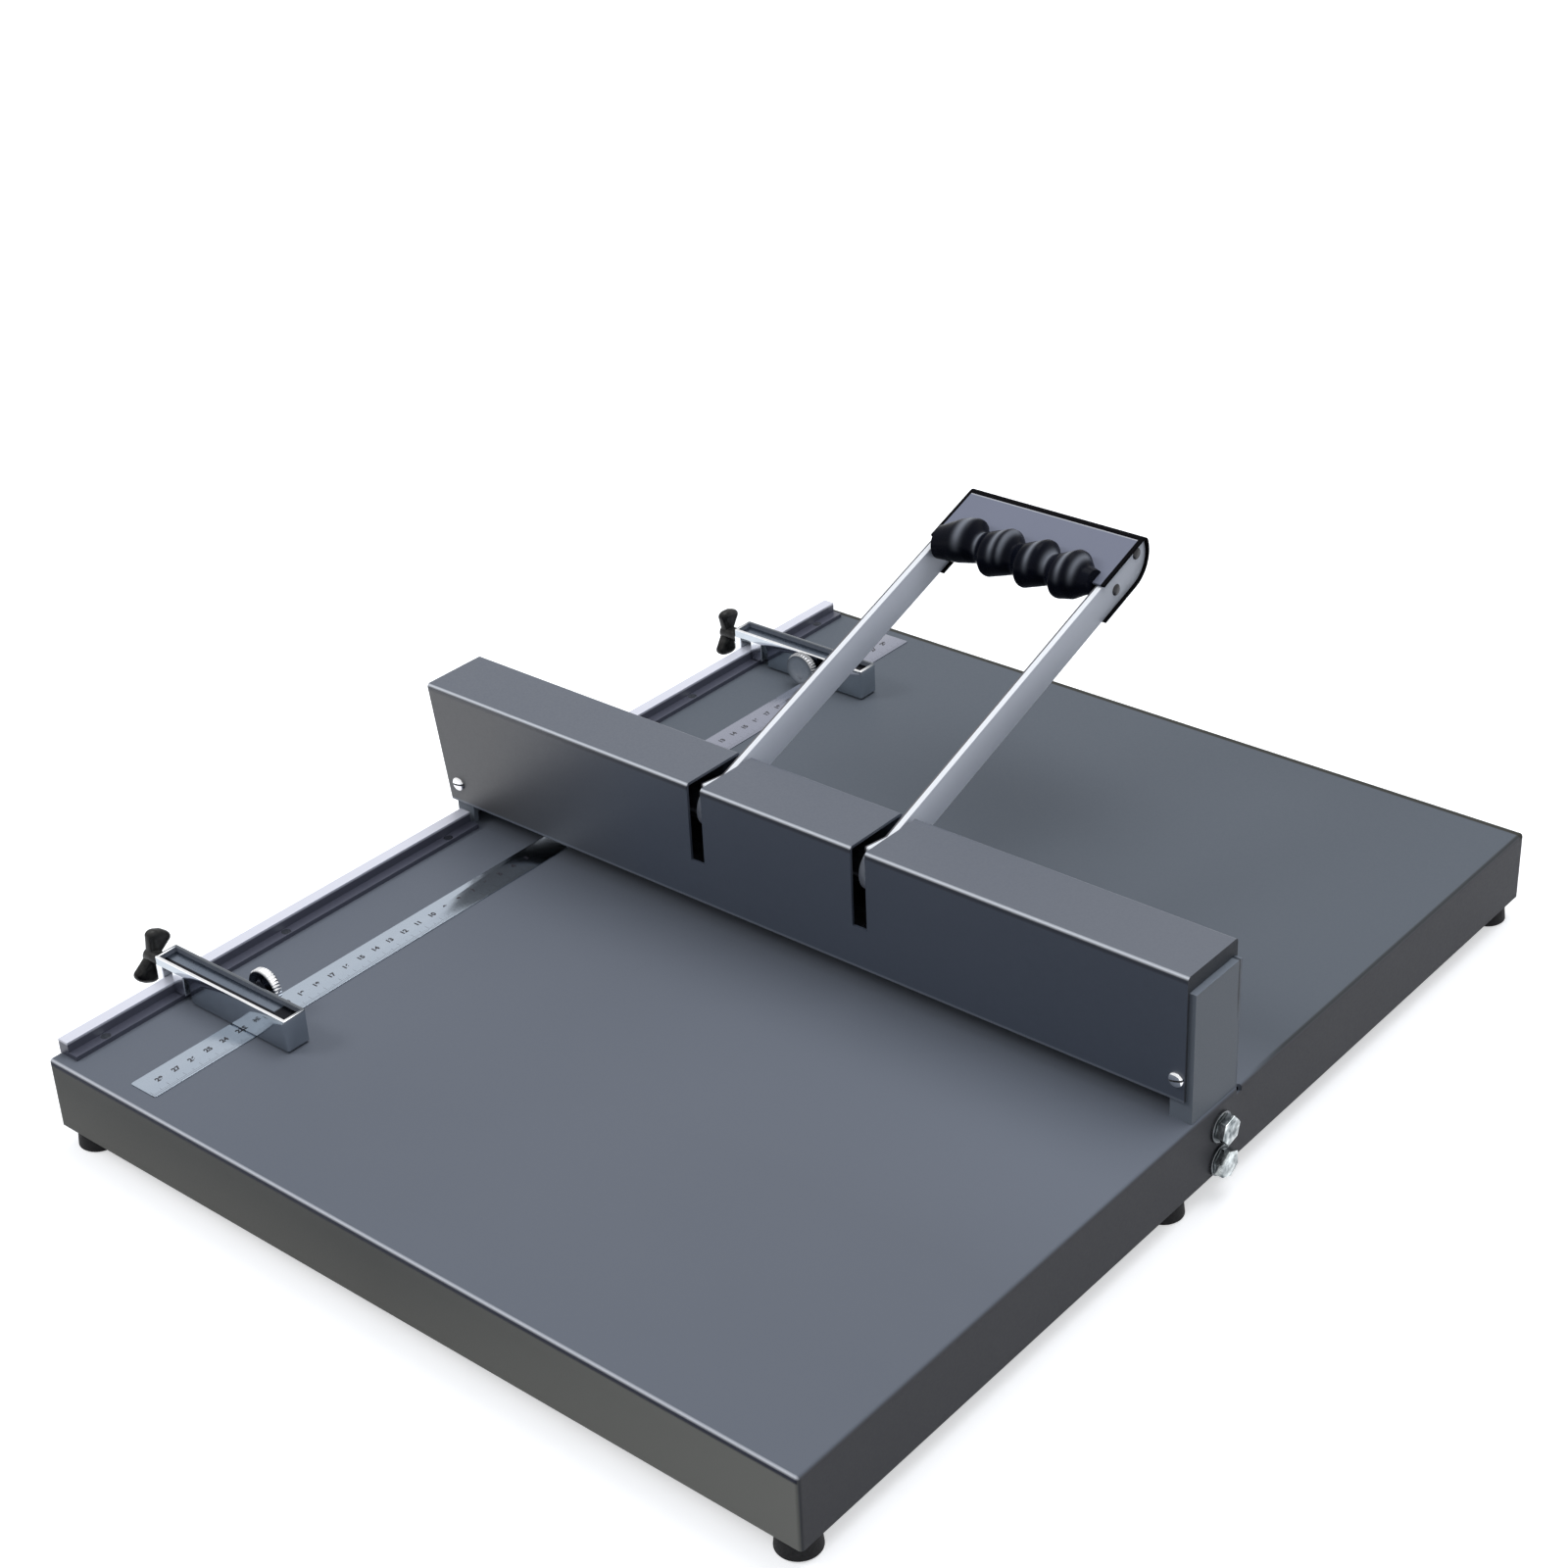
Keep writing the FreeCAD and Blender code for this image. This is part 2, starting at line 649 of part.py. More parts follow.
for number, x in enumerate(ANVIL_SCREWS):
    bed_holes.append(rod(f"bed_screw_hole{number}", "Z", "anvil_screw_radius",
                         (f"{deck_low} - 1", "bed_top"), (x, "0")))
    anvil_holes.append(rod(f"anvil_thread{number}", "Z", "anvil_screw_radius",
                           (f"{anvil_low} - 1", f"{anvil_low} + anvil_screw_bite"), (x, "0")))
    anvil_screws.append(join(f"anvil_screw{number}", [
        rod(f"anvil_screw_shank{number}", "Z", "anvil_screw_radius",
            (deck_low, f"{anvil_low} + anvil_screw_bite"), (x, "0")),
        rod(f"anvil_screw_top{number}", "Z", "anvil_screw_head",
            (f"{deck_low} - anvil_screw_head_height", deck_low), (x, "0")),
    ]))
label(cut("bed", box("bed_block", ("bed_left", "right_web_inner"), ("-bed_half", "bed_half"),
                     ("flange_top", "bed_top")), bed_holes), "bed_beam")
label(cut("anvil", box("anvil_block", ("crease_left", "crease_right"), ("-anvil_width / 2", "anvil_width / 2"),
                       (anvil_low, "table_top")), anvil_holes), "lower_anvil")
label(group("anvil_screw_group", anvil_screws), "anvil_screws")

# ---------------------------------------------------------------- rails and rules
# Each rail is a stepped bar: a tall outer upstand that the stops clamp, and a low inner ledge with the screws.
RAIL_PROFILE = [
    ("rail_left", "0"), ("rail_right", "0"), ("rail_right", "rail_ledge_height"), ("rail_step", "rail_ledge_height"),
    ("rail_step", "rail_upstand_height"), ("rail_left", "rail_upstand_height"),
]
ledge = "table_top + rail_ledge_height"
head_high = f"{ledge} - rail_screw_sink"
head_low = f"{head_high} - rail_screw_head_height"
rail_screws = []
for place, start, sign in (("front", "-rail_near", "-"), ("rear", "rail_far", "+")):
    rail = body(f"{place}_rail_bar")
    pad(rail, f"{place}_rail_pad", outline(rail, f"{place}_rail_profile", "XZ_Plane", RAIL_PROFILE),
        "rail_far - rail_near")
    bind(rail, "Placement.Base.y", start)
    bind(rail, "Placement.Base.z", "table_top")
    holes = []
    for number, y in enumerate(RAIL_SCREWS):
        if y[0] != sign:
            continue
        at = (RAIL_SCREW_X, y)
        holes.append(rod(f"rail_bore{number}", "Z", "rail_screw_radius", ("table_top - 1", ledge), at))
        holes.append(rod(f"rail_sink{number}", "Z", "rail_screw_head", (head_low, f"{ledge} + 1"), at))
        rail_screws.append(join(f"rail_screw{number}", [
            rod(f"rail_screw_shank{number}", "Z", "rail_screw_radius", ("table_top - rail_screw_depth", head_low), at),
            rod(f"rail_screw_top{number}", "Z", "rail_screw_head", (head_low, head_high), at),
        ]))
    label(cut(f"{place}_rail_cut", rail, holes), f"{place}_rail")
    length = ("-rule_far", "-rule_near") if place == "front" else ("rule_near", "rule_far")
    label(box(f"{place}_rule_strip", ("rule_centre - rule_width / 2", "rule_centre + rule_width / 2"), length,
              ("table_top", "table_top + rule_gauge")), f"{place}_rule")
label(group("rail_screw_group", rail_screws), "rail_screws")

# ---------------------------------------------------------------- handle
# Everything that turns is drawn in the handle's own frame, with the shaft's axis along X and the arms
# along Y, and is then leaned back by arm_lean about the shaft.


def lean(thing, x="0"):
    thing.Placement.Rotation = FreeCAD.Rotation(V(1, 0, 0), size("arm_lean"))
    bind(thing, "Placement.Rotation.Angle", "arm_lean")
    bind(thing, "Placement.Base.x", x)
    bind(thing, "Placement.Base.z", "shaft_level")
    return thing


PINS = {
    "left_arm": ("left_arm_centre + arm_gauge / 2 + (arm_hub_width - arm_gauge) / 4", "arm_hub_radius"),
    "right_arm": ("right_arm_centre - arm_gauge / 2 - (arm_hub_width - arm_gauge) / 4", "arm_hub_radius"),
    "left_cam": ("left_cam_centre + (cam_gauge + cam_hub_width) / 2", "cam_start"),
    "right_cam": ("right_cam_centre + (cam_gauge + cam_hub_width) / 2", "cam_start"),
}


def pin(name, owner):
    x, reach = PINS[owner]
    return rod(name, "Z", "pin_radius", (f"-{reach}", reach), (x, "0"))


def bore(name, x):
    return rod(name, "X", "shaft_radius", x, ("0", "0"))


label(lean(cut("shaft", rod("shaft_bar", "X", "shaft_radius", ("shaft_left", "shaft_right"), ("0", "0")),
               [pin(f"shaft_{owner}_hole", owner) for owner in PINS])), "cross_shaft")
label(lean(group("pin_group", [pin(f"{owner}_pin", owner) for owner in PINS])), "roll_pins")

collars = []
for side, at in SIDES.items():
    start = f"{at['inner']} {at['inward']} (bearing_width + collar_gap)"
    ring = span(start, at["inward"], "collar_width")
    collars.append(cut(f"{side}_collar", rod(f"{side}_collar_disc", "X", "collar_radius", ring, ("0", "0")),
                       [bore(f"{side}_collar_bore", ring)]))
label(lean(group("collar_group", collars)), "shaft_collars")

RIVETS = (("near", "rivet_near_along", "rivet_near_above"), ("far", "rivet_far_along", "rivet_far_above"))
end_of_arm = "head_length - head_gauge - arm_end_gap"
ARM_OUTLINE = [
    ("-arm_hub_radius", "0"), ("0", "-arm_below"), (end_of_arm, "-arm_below"), (end_of_arm, "arm_above"),
    ("shoulder_end", "arm_above"), ("shoulder_along", "shoulder_above"),
]


def round_head_end(owner, name, inset):
    """Rounds the far end of an arm, a cheek or the head's wall: a tight corner above, a wide one below."""
    far = size(f"head_length - head_gauge - ({inset})")
    for place, radius, above in (("top", "head_corner", True), ("back", "head_back_radius", False)):
        rounded(owner, f"{name}_{place}_bend", f"{radius} - head_gauge - ({inset})", lambda middle, direction:
                abs(direction.x) > 0.9 and abs(middle.y - far) < 0.01 and (middle.z > 0) == above)


rivets = []
cheeks = []
for side, at in SIDES.items():
    inward = at["inward"]
    centre = f"{side}_arm_centre"
    arm = body(f"{side}_arm_plate")
    pad(arm, f"{side}_arm_pad", outline(arm, f"{side}_arm_profile", "YZ_Plane", ARM_OUTLINE), "arm_gauge",
        both_ways=True)
    bind(arm, "Placement.Base.x", centre)
    round_head_end(arm, f"{side}_arm", "arm_end_gap")
    hub = (f"{centre} - arm_hub_width / 2", f"{centre} + arm_hub_width / 2")
    inner_face = f"{centre} {inward} arm_gauge / 2"
    outer_face = f"{centre} - arm_gauge / 2" if inward == "+" else f"{centre} + arm_gauge / 2"
    outward = "-" if inward == "+" else "+"
    shank = span(outer_face, inward, "arm_gauge + head_gauge")
    holes = [bore(f"{side}_arm_bore", hub), pin(f"{side}_arm_pin_hole", f"{side}_arm")]
    cheek = body(f"{side}_cheek_plate")
    cheek_far = "head_length - head_gauge"
    pad(cheek, f"{side}_cheek_pad", outline(cheek, f"{side}_cheek_profile", "YZ_Plane", [
        ("cheek_start", "arm_above - cheek_height"), (cheek_far, "arm_above - cheek_height"),
        (cheek_far, "arm_above"), ("cheek_start", "arm_above")]), "head_gauge", both_ways=True)
    bind(cheek, "Placement.Base.x", f"{inner_face} {inward} head_gauge / 2")
    cheek_holes = []
    for place, out_along, above in RIVETS:
        name = f"{side}_{place}_rivet"
        holes.append(rod(f"{name}_hole", "X", "rivet_radius", shank, (out_along, above)))
        cheek_holes.append(rod(f"{name}_cheek_hole", "X", "rivet_radius", shank, (out_along, above)))
        rivets.append(join(name, [
            rod(f"{name}_shank", "X", "rivet_radius", shank, (out_along, above)),
            rod(f"{name}_head", "X", "rivet_head_radius", span(outer_face, outward, "rivet_head_height"),
                (out_along, above)),
        ]))
    cheeks.append(cut(f"{side}_cheek", cheek, cheek_holes))
    label(lean(cut(f"{side}_arm_cut", join(f"{side}_arm_join", [
        arm, rod(f"{side}_arm_hub", "X", "arm_hub_radius", hub, ("0", "0"))]), holes)), f"{side}_arm")
label(lean(group("rivet_group", rivets)), "head_rivets")

# The head is one sheet wrapped round both arms' ends, with a cheek inside each arm for the rivets. Its underside
# is cut back between the cheeks, so that the fingers reach behind the grip.
head = body("head_wrap")
inner_far = "head_length - head_gauge"
pad(head, "head_pad", outline(head, "head_profile", "YZ_Plane", [
    ("head_bottom_start", "-arm_below - head_gauge"), ("head_length", "-arm_below - head_gauge"),
    ("head_length", "arm_above + head_gauge"), ("head_top_start", "arm_above + head_gauge"),
    ("head_top_start", "arm_above"), (inner_far, "arm_above"), (inner_far, "-arm_below"),
    ("head_bottom_start", "-arm_below")]), "head_width", both_ways=True)
bind(head, "Placement.Base.x", "handle_centre")
round_head_end(head, "head_inner", "0")
round_head_end(head, "head_outer", "-head_gauge")
wrap_space = body("wrap_space_block")
pad(wrap_space, "wrap_space_pad", outline(wrap_space, "wrap_space_profile", "YZ_Plane", [
    ("cheek_start - 1", "-arm_below"), (inner_far, "-arm_below"), (inner_far, "arm_above"),
    ("cheek_start - 1", "arm_above")]), "head_width", both_ways=True)
bind(wrap_space, "Placement.Base.x", "handle_centre")
round_head_end(wrap_space, "wrap_space", "0")
fitted_cheeks = []
for number, cheek in enumerate(cheeks):
    fitted = doc.addObject("Part::Common", f"fitted_cheek{number}")
    fitted.Base = cheek
    fitted.Tool = wrap_space
    fitted_cheeks.append(fitted)
opening_half = "(arm_spacing / 2 - arm_gauge / 2 - head_gauge)"
finger_opening = box("finger_opening", (f"handle_centre - {opening_half}", f"handle_centre + {opening_half}"),
                     ("head_bottom_start - 1", "head_opening_back"), ("-arm_below - head_gauge - 1", "-arm_below + 1"))
label(lean(cut("head", join("head_join", [head] + fitted_cheeks), [finger_opening])), "handle_head")

# The finger grip is a round bar with a bulge between each two fingers, pushed on the head's front edge.
grip_along = "head_top_start + grip_setback"
grip_above = "arm_above + head_gauge / 2"
grip_half = f"({opening_half} - grip_end_gap)"
grip_pitch = f"(2 * {grip_half} / grip_lobes)"
grip_ends = (f"handle_centre - {grip_half}", f"handle_centre + {grip_half}")
grip_profile = [(grip_ends[0], "0")]
for number in range(int(size("grip_lobes"))):
    for share, radius in ((0, "grip_valley_radius"), ("grip_flank", "grip_crest_radius"),
                          ("1 - grip_flank", "grip_crest_radius")):
        grip_profile.append((f"{grip_ends[0]} + ({number} + {share}) * {grip_pitch}", radius))
grip_profile += [(grip_ends[1], "grip_valley_radius"), (grip_ends[1], "0")]
grip_bar = body("grip_bar")
turned(grip_bar, "grip_turn", outline(grip_bar, "grip_profile", "XY_Plane", grip_profile))
bind(grip_bar, "Placement.Base.y", grip_along)
bind(grip_bar, "Placement.Base.z", grip_above)
label(lean(cut("grip", grip_bar, [box(
    "grip_slot", (f"{grip_ends[0]} - 1", f"{grip_ends[1]} + 1"),
    ("head_top_start - grip_slot_gap", f"{grip_along} + grip_crest_radius + 1"),
    ("arm_above - grip_slot_gap", "arm_above + head_gauge + grip_slot_gap"))])), "finger_grip")

# ---------------------------------------------------------------- cams
# The lobe's edge is the curve whose distance to a flat follower grows evenly with the turn.
CAM_POINTS = 13
CAM_RUN_OUT = math.radians(10)


def cam_edge():
    """Points of the lobe's edge in the handle's frame, from the rest contact to the end of the range."""
    down = -math.pi / 2 - math.radians(size("arm_lean"))
    swing = math.radians(size("handle_range"))
    base = size("cam_base")
    first, last = down + CAM_RUN_OUT, down - swing - CAM_RUN_OUT
    points = []
    for number in range(CAM_POINTS):
        facing = first + (last - first) * number / (CAM_POINTS - 1)
        reach = size("cam_start") + base * (down - facing)
        outward = V(0, math.cos(facing), math.sin(facing))
        sideways = V(0, -math.sin(facing), math.cos(facing))
        points.append(outward * reach - sideways * base)
    return points


def cam_lobe():
    points = cam_edge()
    curve = Part.BSplineCurve()
    curve.interpolate(points)
    edges = [curve.toShape(), Part.LineSegment(points[-1], V()).toShape(), Part.LineSegment(V(), points[0]).toShape()]
    return Part.Face(Part.Wire(edges)).extrude(V(size("cam_gauge"), 0, 0))


for side in SIDES:
    centre = f"{side}_cam_centre"
    plate = (f"{centre} - cam_gauge / 2", f"{centre} + cam_gauge / 2")
    whole = (plate[0], f"{plate[1]} + cam_hub_width")
    lobe = doc.addObject("Part::Feature", f"{side}_cam_lobe")
    lobe.Shape = cam_lobe()
    bind(lobe, "Placement.Base.x", plate[0])
    label(lean(cut(f"{side}_cam_cut", join(f"{side}_cam_join", [
        lobe, rod(f"{side}_cam_hub", "X", "cam_start", whole, ("0", "0"))]),
        [bore(f"{side}_cam_bore", whole), pin(f"{side}_cam_pin_hole", f"{side}_cam")])), f"{side}_cam")

# ---------------------------------------------------------------- press beam and blade
# The beam has a rabbet along its lower front for the blade and the strip that clamps it.
beam = body("beam_bar")
pad(beam, "beam_pad", outline(beam, "beam_profile", "YZ_Plane", [
    ("-beam_half", "rabbet_height"), ("blade_gauge / 2", "rabbet_height"), ("blade_gauge / 2", "0"),
    ("beam_half", "0"), ("beam_half", "beam_height"), ("-beam_half", "beam_height")]),
    "crease_right - crease_left")
bind(beam, "Placement.Base.x", "crease_left")
bind(beam, "Placement.Base.z", "beam_low")
CLAMP_SCREWS = [
    f"crease_left + clamp_screw_margin + {number} * (crease_right - crease_left - 2 * clamp_screw_margin) / 5"
    for number in range(6)
]
clamp_front = "-blade_gauge / 2 - clamp_gauge"
clamp_level = "beam_low + rabbet_height / 2"
GUIDE_SCREW_LEVELS = ("beam_low + rabbet_height / 2", "beam_top - guide_screw_head - guide_screw_margin")
crease = ("crease_left", "crease_right")


def clamp_shank(name, x):
    return rod(name, "Y", "clamp_screw_radius", (clamp_front, "clamp_screw_bite"), (x, clamp_level))


clamp_screws = []
beam_holes = []
for number, x in enumerate(CLAMP_SCREWS):
    beam_holes.append(clamp_shank(f"beam_thread{number}", x))
    clamp_screws.append(join(f"clamp_screw{number}", [
        clamp_shank(f"clamp_shank{number}", x),
        rod(f"clamp_head{number}", "Y", "clamp_screw_head",
            (f"{clamp_front} - clamp_screw_head_height", clamp_front), (x, clamp_level)),
    ]))
label(cut("blade", box("blade_strip", crease, ("-blade_gauge / 2", "blade_gauge / 2"),
                       ("table_top + blade_gap", "rabbet_top")),
          [clamp_shank(f"blade_hole{number}", x) for number, x in enumerate(CLAMP_SCREWS)]), "creasing_blade")
label(cut("clamp", box("clamp_strip", crease, (clamp_front, "-blade_gauge / 2"), ("beam_low", "rabbet_top")),
          [clamp_shank(f"clamp_hole{number}", x) for number, x in enumerate(CLAMP_SCREWS)]), "blade_clamp")
label(group("clamp_screw_group", clamp_screws), "clamp_screws")

label(group("cam_pad_group", [
    box(f"{side}_cam_pad",
        (f"{side}_cam_centre - cam_gauge / 2 - cam_pad_margin", f"{side}_cam_centre + cam_gauge / 2 + cam_pad_margin"),
        ("-cam_pad_half", "cam_pad_half"), ("beam_top", "shaft_level - cam_start - cam_gap"))
    for side in SIDES]), "cam_pads")

guide_screws = []
for side, at in SIDES.items():
    inward = at["inward"]
    outer = f"{at['inner']} {inward} guide_clearance"
    joint = "crease_left" if side == "left" else "crease_right"
    x = (outer, joint) if side == "left" else (joint, outer)
    sink = span(outer, inward, "guide_screw_head_height")
    holes = []
    for number, level in enumerate(GUIDE_SCREW_LEVELS):
        at_screw = ("guide_screw_back", level)
        far = f"{joint} {inward} guide_screw_bite"
        shank = (outer, far) if side == "left" else (far, outer)
        name = f"{side}_guide_screw{number}"
        holes += [rod(f"{name}_hole", "X", "guide_screw_radius", shank, at_screw),
                  rod(f"{name}_sink", "X", "guide_screw_head", sink, at_screw)]
        beam_holes.append(rod(f"{name}_thread", "X", "guide_screw_radius", shank, at_screw))
        guide_screws.append(join(name, [
            rod(f"{name}_shank", "X", "guide_screw_radius", shank, at_screw),
            rod(f"{name}_head", "X", "guide_screw_head", sink, at_screw)]))
    label(cut(f"{side}_guide", box(f"{side}_guide_body", x, (
        "-guide_half + guide_clearance", "guide_half - guide_clearance"), ("beam_low", "beam_top")), holes),
        f"{side}_guide_block")
label(group("guide_screw_group", guide_screws), "guide_screws")
label(cut("beam", beam, beam_holes), "press_beam")

# ---------------------------------------------------------------- return springs
# Compression springs that stand on the table inside the uprights and lift the beam's guide blocks.


def coil():
    wire = size("spring_wire_radius")
    height = size("beam_bottom - 2 * spring_wire_radius - 2 * spring_end_gap")
    radius = size("spring_coil_radius")
    helix = Part.makeHelix(height / size("spring_turns"), height, radius)
    section = Part.Wire([Part.makeCircle(wire, V(radius, 0, 0), V(0, 1, 0))])
    return Part.Wire(helix.Edges).makePipeShell([section], True, True)


for side, at in SIDES.items():
    spring = doc.addObject("Part::Feature", f"{side}_spring")
    spring.Shape = coil()
    bind(spring, "Placement.Base.x", f"{at['inner']} {at['inward']} (spring_coil_radius + spring_wire_radius + spring_web_gap)")
    bind(spring, "Placement.Base.z", "table_top + spring_wire_radius + spring_end_gap")
    label(spring, f"{side}_return_spring")

# ---------------------------------------------------------------- paper stops
# One stop in front of the bridge and its mirror image behind it. Distances along Y are counted from the
# stop's own centre towards the bridge.
for place, centre, toward in (("front", "-stop_centre", "+"), ("rear", "stop_centre", "-")):

    def counted(start, end):
        """The Y range from start to end, counted towards the bridge."""
        low, high = f"{centre} {toward} ({start})", f"{centre} {toward} ({end})"
        return (low, high) if toward == "+" else (high, low)

    whole = counted("-stop_half", "stop_half")
    stud_at = (centre, "table_top + stud_rise")
    thumb_at = ("thumb_centre", "table_top + thumb_rise")
    jaw_top = "table_top + stop_ledge"
    bar = body(f"{place}_bar_block")
    pad(bar, f"{place}_bar_pad", outline(bar, f"{place}_bar_profile", "XZ_Plane", [
        ("stop_left", "stop_ledge"), ("stop_step", "stop_ledge"), ("stop_step", "stop_floor_gap"),
        ("stop_right", "stop_floor_gap"), ("stop_right", "stop_top"), ("stop_left", "stop_top")]),
        "2 * stop_half", both_ways=True)
    bind(bar, "Placement.Base.y", centre)
    bind(bar, "Placement.Base.z", "table_top")
    label(cut(f"{place}_bar", bar, [
        box(f"{place}_tray", ("stop_left + stop_tray_rim", "stop_right - stop_tray_rim"),
            counted("-stop_half + stop_tray_rim", "stop_half - stop_tray_rim"),
            ("table_top + stop_top - stop_tray_depth", "table_top + stop_top + 1")),
        rod(f"{place}_thumb_hole", "Y", "thumb_thread_radius + thumb_gap",
            counted("stop_half - thumb_thread - thumb_hole_end", "stop_half + 1"), thumb_at),
    ]), f"{place}_stop_bar")

    jaws = {
        "outer": (("stop_left", "rail_left - jaw_gap"), "jaw_outer_bottom"),
        "inner": (("rail_step + jaw_gap", "rail_step + jaw_gap + jaw_inner_width"), "jaw_inner_bottom"),
    }
    for which, (x, bottom) in jaws.items():
        label(cut(f"{place}_{which}_jaw_cut", box(f"{place}_{which}_jaw_block", x, whole, (
            f"table_top + {bottom}", jaw_top)), [rod(
                f"{place}_{which}_jaw_hole", "X", "stud_radius + stud_gap", (f"{x[0]} - 1", f"{x[1]} + 1"),
                stud_at)]), f"{place}_{which}_jaw")

    stud_inner = "rail_step + jaw_gap + jaw_inner_width"
    stud_outer = "knob_outer + wing_gauge / 2"
    label(rod(f"{place}_stud_rod", "X", "stud_radius", (stud_outer, stud_inner), stud_at), f"{place}_wing_stud")
    wings = body(f"{place}_wings")
    pad(wings, f"{place}_wings_pad", outline(wings, f"{place}_wings_profile", "YZ_Plane", [
        ("-wing_root_half", "0"), ("-wing_tip_half", "-wing_reach"), ("wing_tip_half", "-wing_reach"),
        ("wing_root_half", "0"), ("wing_tip_half", "wing_reach"), ("-wing_tip_half", "wing_reach")]), "wing_gauge")
    wings.Placement.Rotation = FreeCAD.Rotation(V(-1, 0, 0), size(f"{place}_wing_turn"))
    bind(wings, "Placement.Rotation.Angle", f"{place}_wing_turn")
    bind(wings, "Placement.Base.x", "knob_outer")
    bind(wings, "Placement.Base.y", centre)
    bind(wings, "Placement.Base.z", "table_top + stud_rise")
    rounded(wings, f"{place}_wing_tips", "wing_gauge / 3", lambda middle, direction:
            abs(direction.x) > 0.9 and abs(middle.z) > 1)
    label(cut(f"{place}_knob", join(f"{place}_knob_join", [wings, rod(
        f"{place}_knob_hub", "X", "knob_hub_radius", ("knob_outer", "stop_left - knob_start_gap"), stud_at)]),
        [rod(f"{place}_knob_hole", "X", "stud_radius", (stud_outer, "stop_left"), stud_at)]), f"{place}_wing_knob")

    thumb = body(f"{place}_thumb_body")
    turned(thumb, f"{place}_thumb_turn", outline(thumb, f"{place}_thumb_profile", "XY_Plane", [
        ("-thumb_thread", "0"), ("-thumb_thread", "thumb_thread_radius"),
        ("knob_start_gap", "thumb_thread_radius"), ("knob_start_gap", "thumb_neck_radius"),
        ("thumb_neck", "thumb_neck_radius"), ("thumb_neck", "thumb_radius - thumb_edge"),
        ("thumb_neck + thumb_edge", "thumb_radius"), ("thumb_neck + thumb_width - thumb_edge", "thumb_radius"),
        ("thumb_neck + thumb_width", "thumb_radius - thumb_edge"), ("thumb_neck + thumb_width", "0")]))
    thumb.Placement.Rotation = FreeCAD.Rotation(V(0, 0, 1), 90 if toward == "+" else -90)
    bind(thumb, "Placement.Base.x", "thumb_centre")
    bind(thumb, "Placement.Base.y", f"{centre} {toward} stop_half")
    bind(thumb, "Placement.Base.z", "table_top + thumb_rise")
    label(thumb, f"{place}_thumb_screw")

# ---------------------------------------------------------------- check and write
doc.recompute()
failed = [item.Name for item in doc.Objects if {"Invalid", "Error"} & set(item.State)]
failed += [item.Label for item in SUBPARTS if item.Shape.isNull() or not item.Shape.isValid()]
if failed:
    raise SystemExit(f"these objects did not build: {failed}")
os.makedirs("parts", exist_ok=True)
for item in SUBPARTS:
    item.Shape.exportStep(f"parts/{item.Label}.step")
print(len(SUBPARTS), "sub-parts")
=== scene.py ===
import math

import bmesh
import bpy
import numpy as np
from mathutils import Matrix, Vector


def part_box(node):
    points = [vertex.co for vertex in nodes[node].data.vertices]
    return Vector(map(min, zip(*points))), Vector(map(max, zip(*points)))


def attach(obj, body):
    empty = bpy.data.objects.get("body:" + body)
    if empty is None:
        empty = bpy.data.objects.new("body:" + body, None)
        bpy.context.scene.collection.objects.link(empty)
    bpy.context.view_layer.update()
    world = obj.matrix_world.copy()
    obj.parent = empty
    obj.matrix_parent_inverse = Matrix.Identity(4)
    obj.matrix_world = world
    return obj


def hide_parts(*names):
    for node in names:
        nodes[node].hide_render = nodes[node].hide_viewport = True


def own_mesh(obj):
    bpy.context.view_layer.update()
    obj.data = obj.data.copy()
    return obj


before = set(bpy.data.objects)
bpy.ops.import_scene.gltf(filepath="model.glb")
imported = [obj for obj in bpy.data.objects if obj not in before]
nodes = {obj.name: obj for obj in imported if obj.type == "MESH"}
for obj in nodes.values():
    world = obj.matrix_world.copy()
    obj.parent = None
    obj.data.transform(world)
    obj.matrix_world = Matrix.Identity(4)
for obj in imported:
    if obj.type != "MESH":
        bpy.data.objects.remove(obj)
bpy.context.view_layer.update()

# ---- Studio: camera, floor and light -------------------------------------------------------------
# A pale seamless floor under a large soft ceiling, with one window-like softbox on the operator's
# left and a weaker one on the right.
CAMERA_RIGHT = (0.76685, 0.64040, -0.04283)
CAMERA_UP = (-0.28887, 0.40396, 0.86797)
CAMERA_BACK = (0.57315, -0.65323, 0.49477)
CAMERA_PLACE = (0.7781, -0.8999, 0.8181)
FOCAL_PIXELS = 2838.6
FRAME_PIXELS = 1600
SENSOR_WIDTH = 36

camera = bpy.data.objects.new("camera", bpy.data.cameras.new("camera"))
camera.data.sensor_width = SENSOR_WIDTH
camera.data.lens = SENSOR_WIDTH * (FOCAL_PIXELS / FRAME_PIXELS)
camera.data.clip_end = 50
axes = np.eye(4)
axes[:3, :3] = np.array([CAMERA_RIGHT, CAMERA_UP, CAMERA_BACK]).T
axes[:3, 3] = CAMERA_PLACE
camera.matrix_world = Matrix(axes.tolist())
bpy.context.scene.collection.objects.link(camera)
bpy.context.scene.camera = camera
bpy.context.scene.view_settings.view_transform = "Standard"


def softbox(name, place, aim, width, height, watts, colour=(1, 1, 1)):
    """A rectangular lamp that faces the point it aims at. Its back axis runs from that point to the lamp,
    and its right axis is the cross product of up and back."""
    lamp = bpy.data.lights.new(name, "AREA")
    lamp.shape = "RECTANGLE"
    lamp.size, lamp.size_y = width, height
    lamp.energy = watts
    lamp.color = colour
    back = np.array(place, float) - np.array(aim, float)
    back /= np.linalg.norm(back)
    right = np.cross((0, 0, 1) if abs(back[2]) < 0.99 else (0, 1, 0), back)
    right /= np.linalg.norm(right)
    turn = np.eye(4)
    turn[:3, :3] = np.array([right, np.cross(back, right), back]).T
    turn[:3, 3] = place
    holder = bpy.data.objects.new(name, lamp)
    holder.matrix_world = Matrix(turn.tolist())
    bpy.context.scene.collection.objects.link(holder)
    return holder


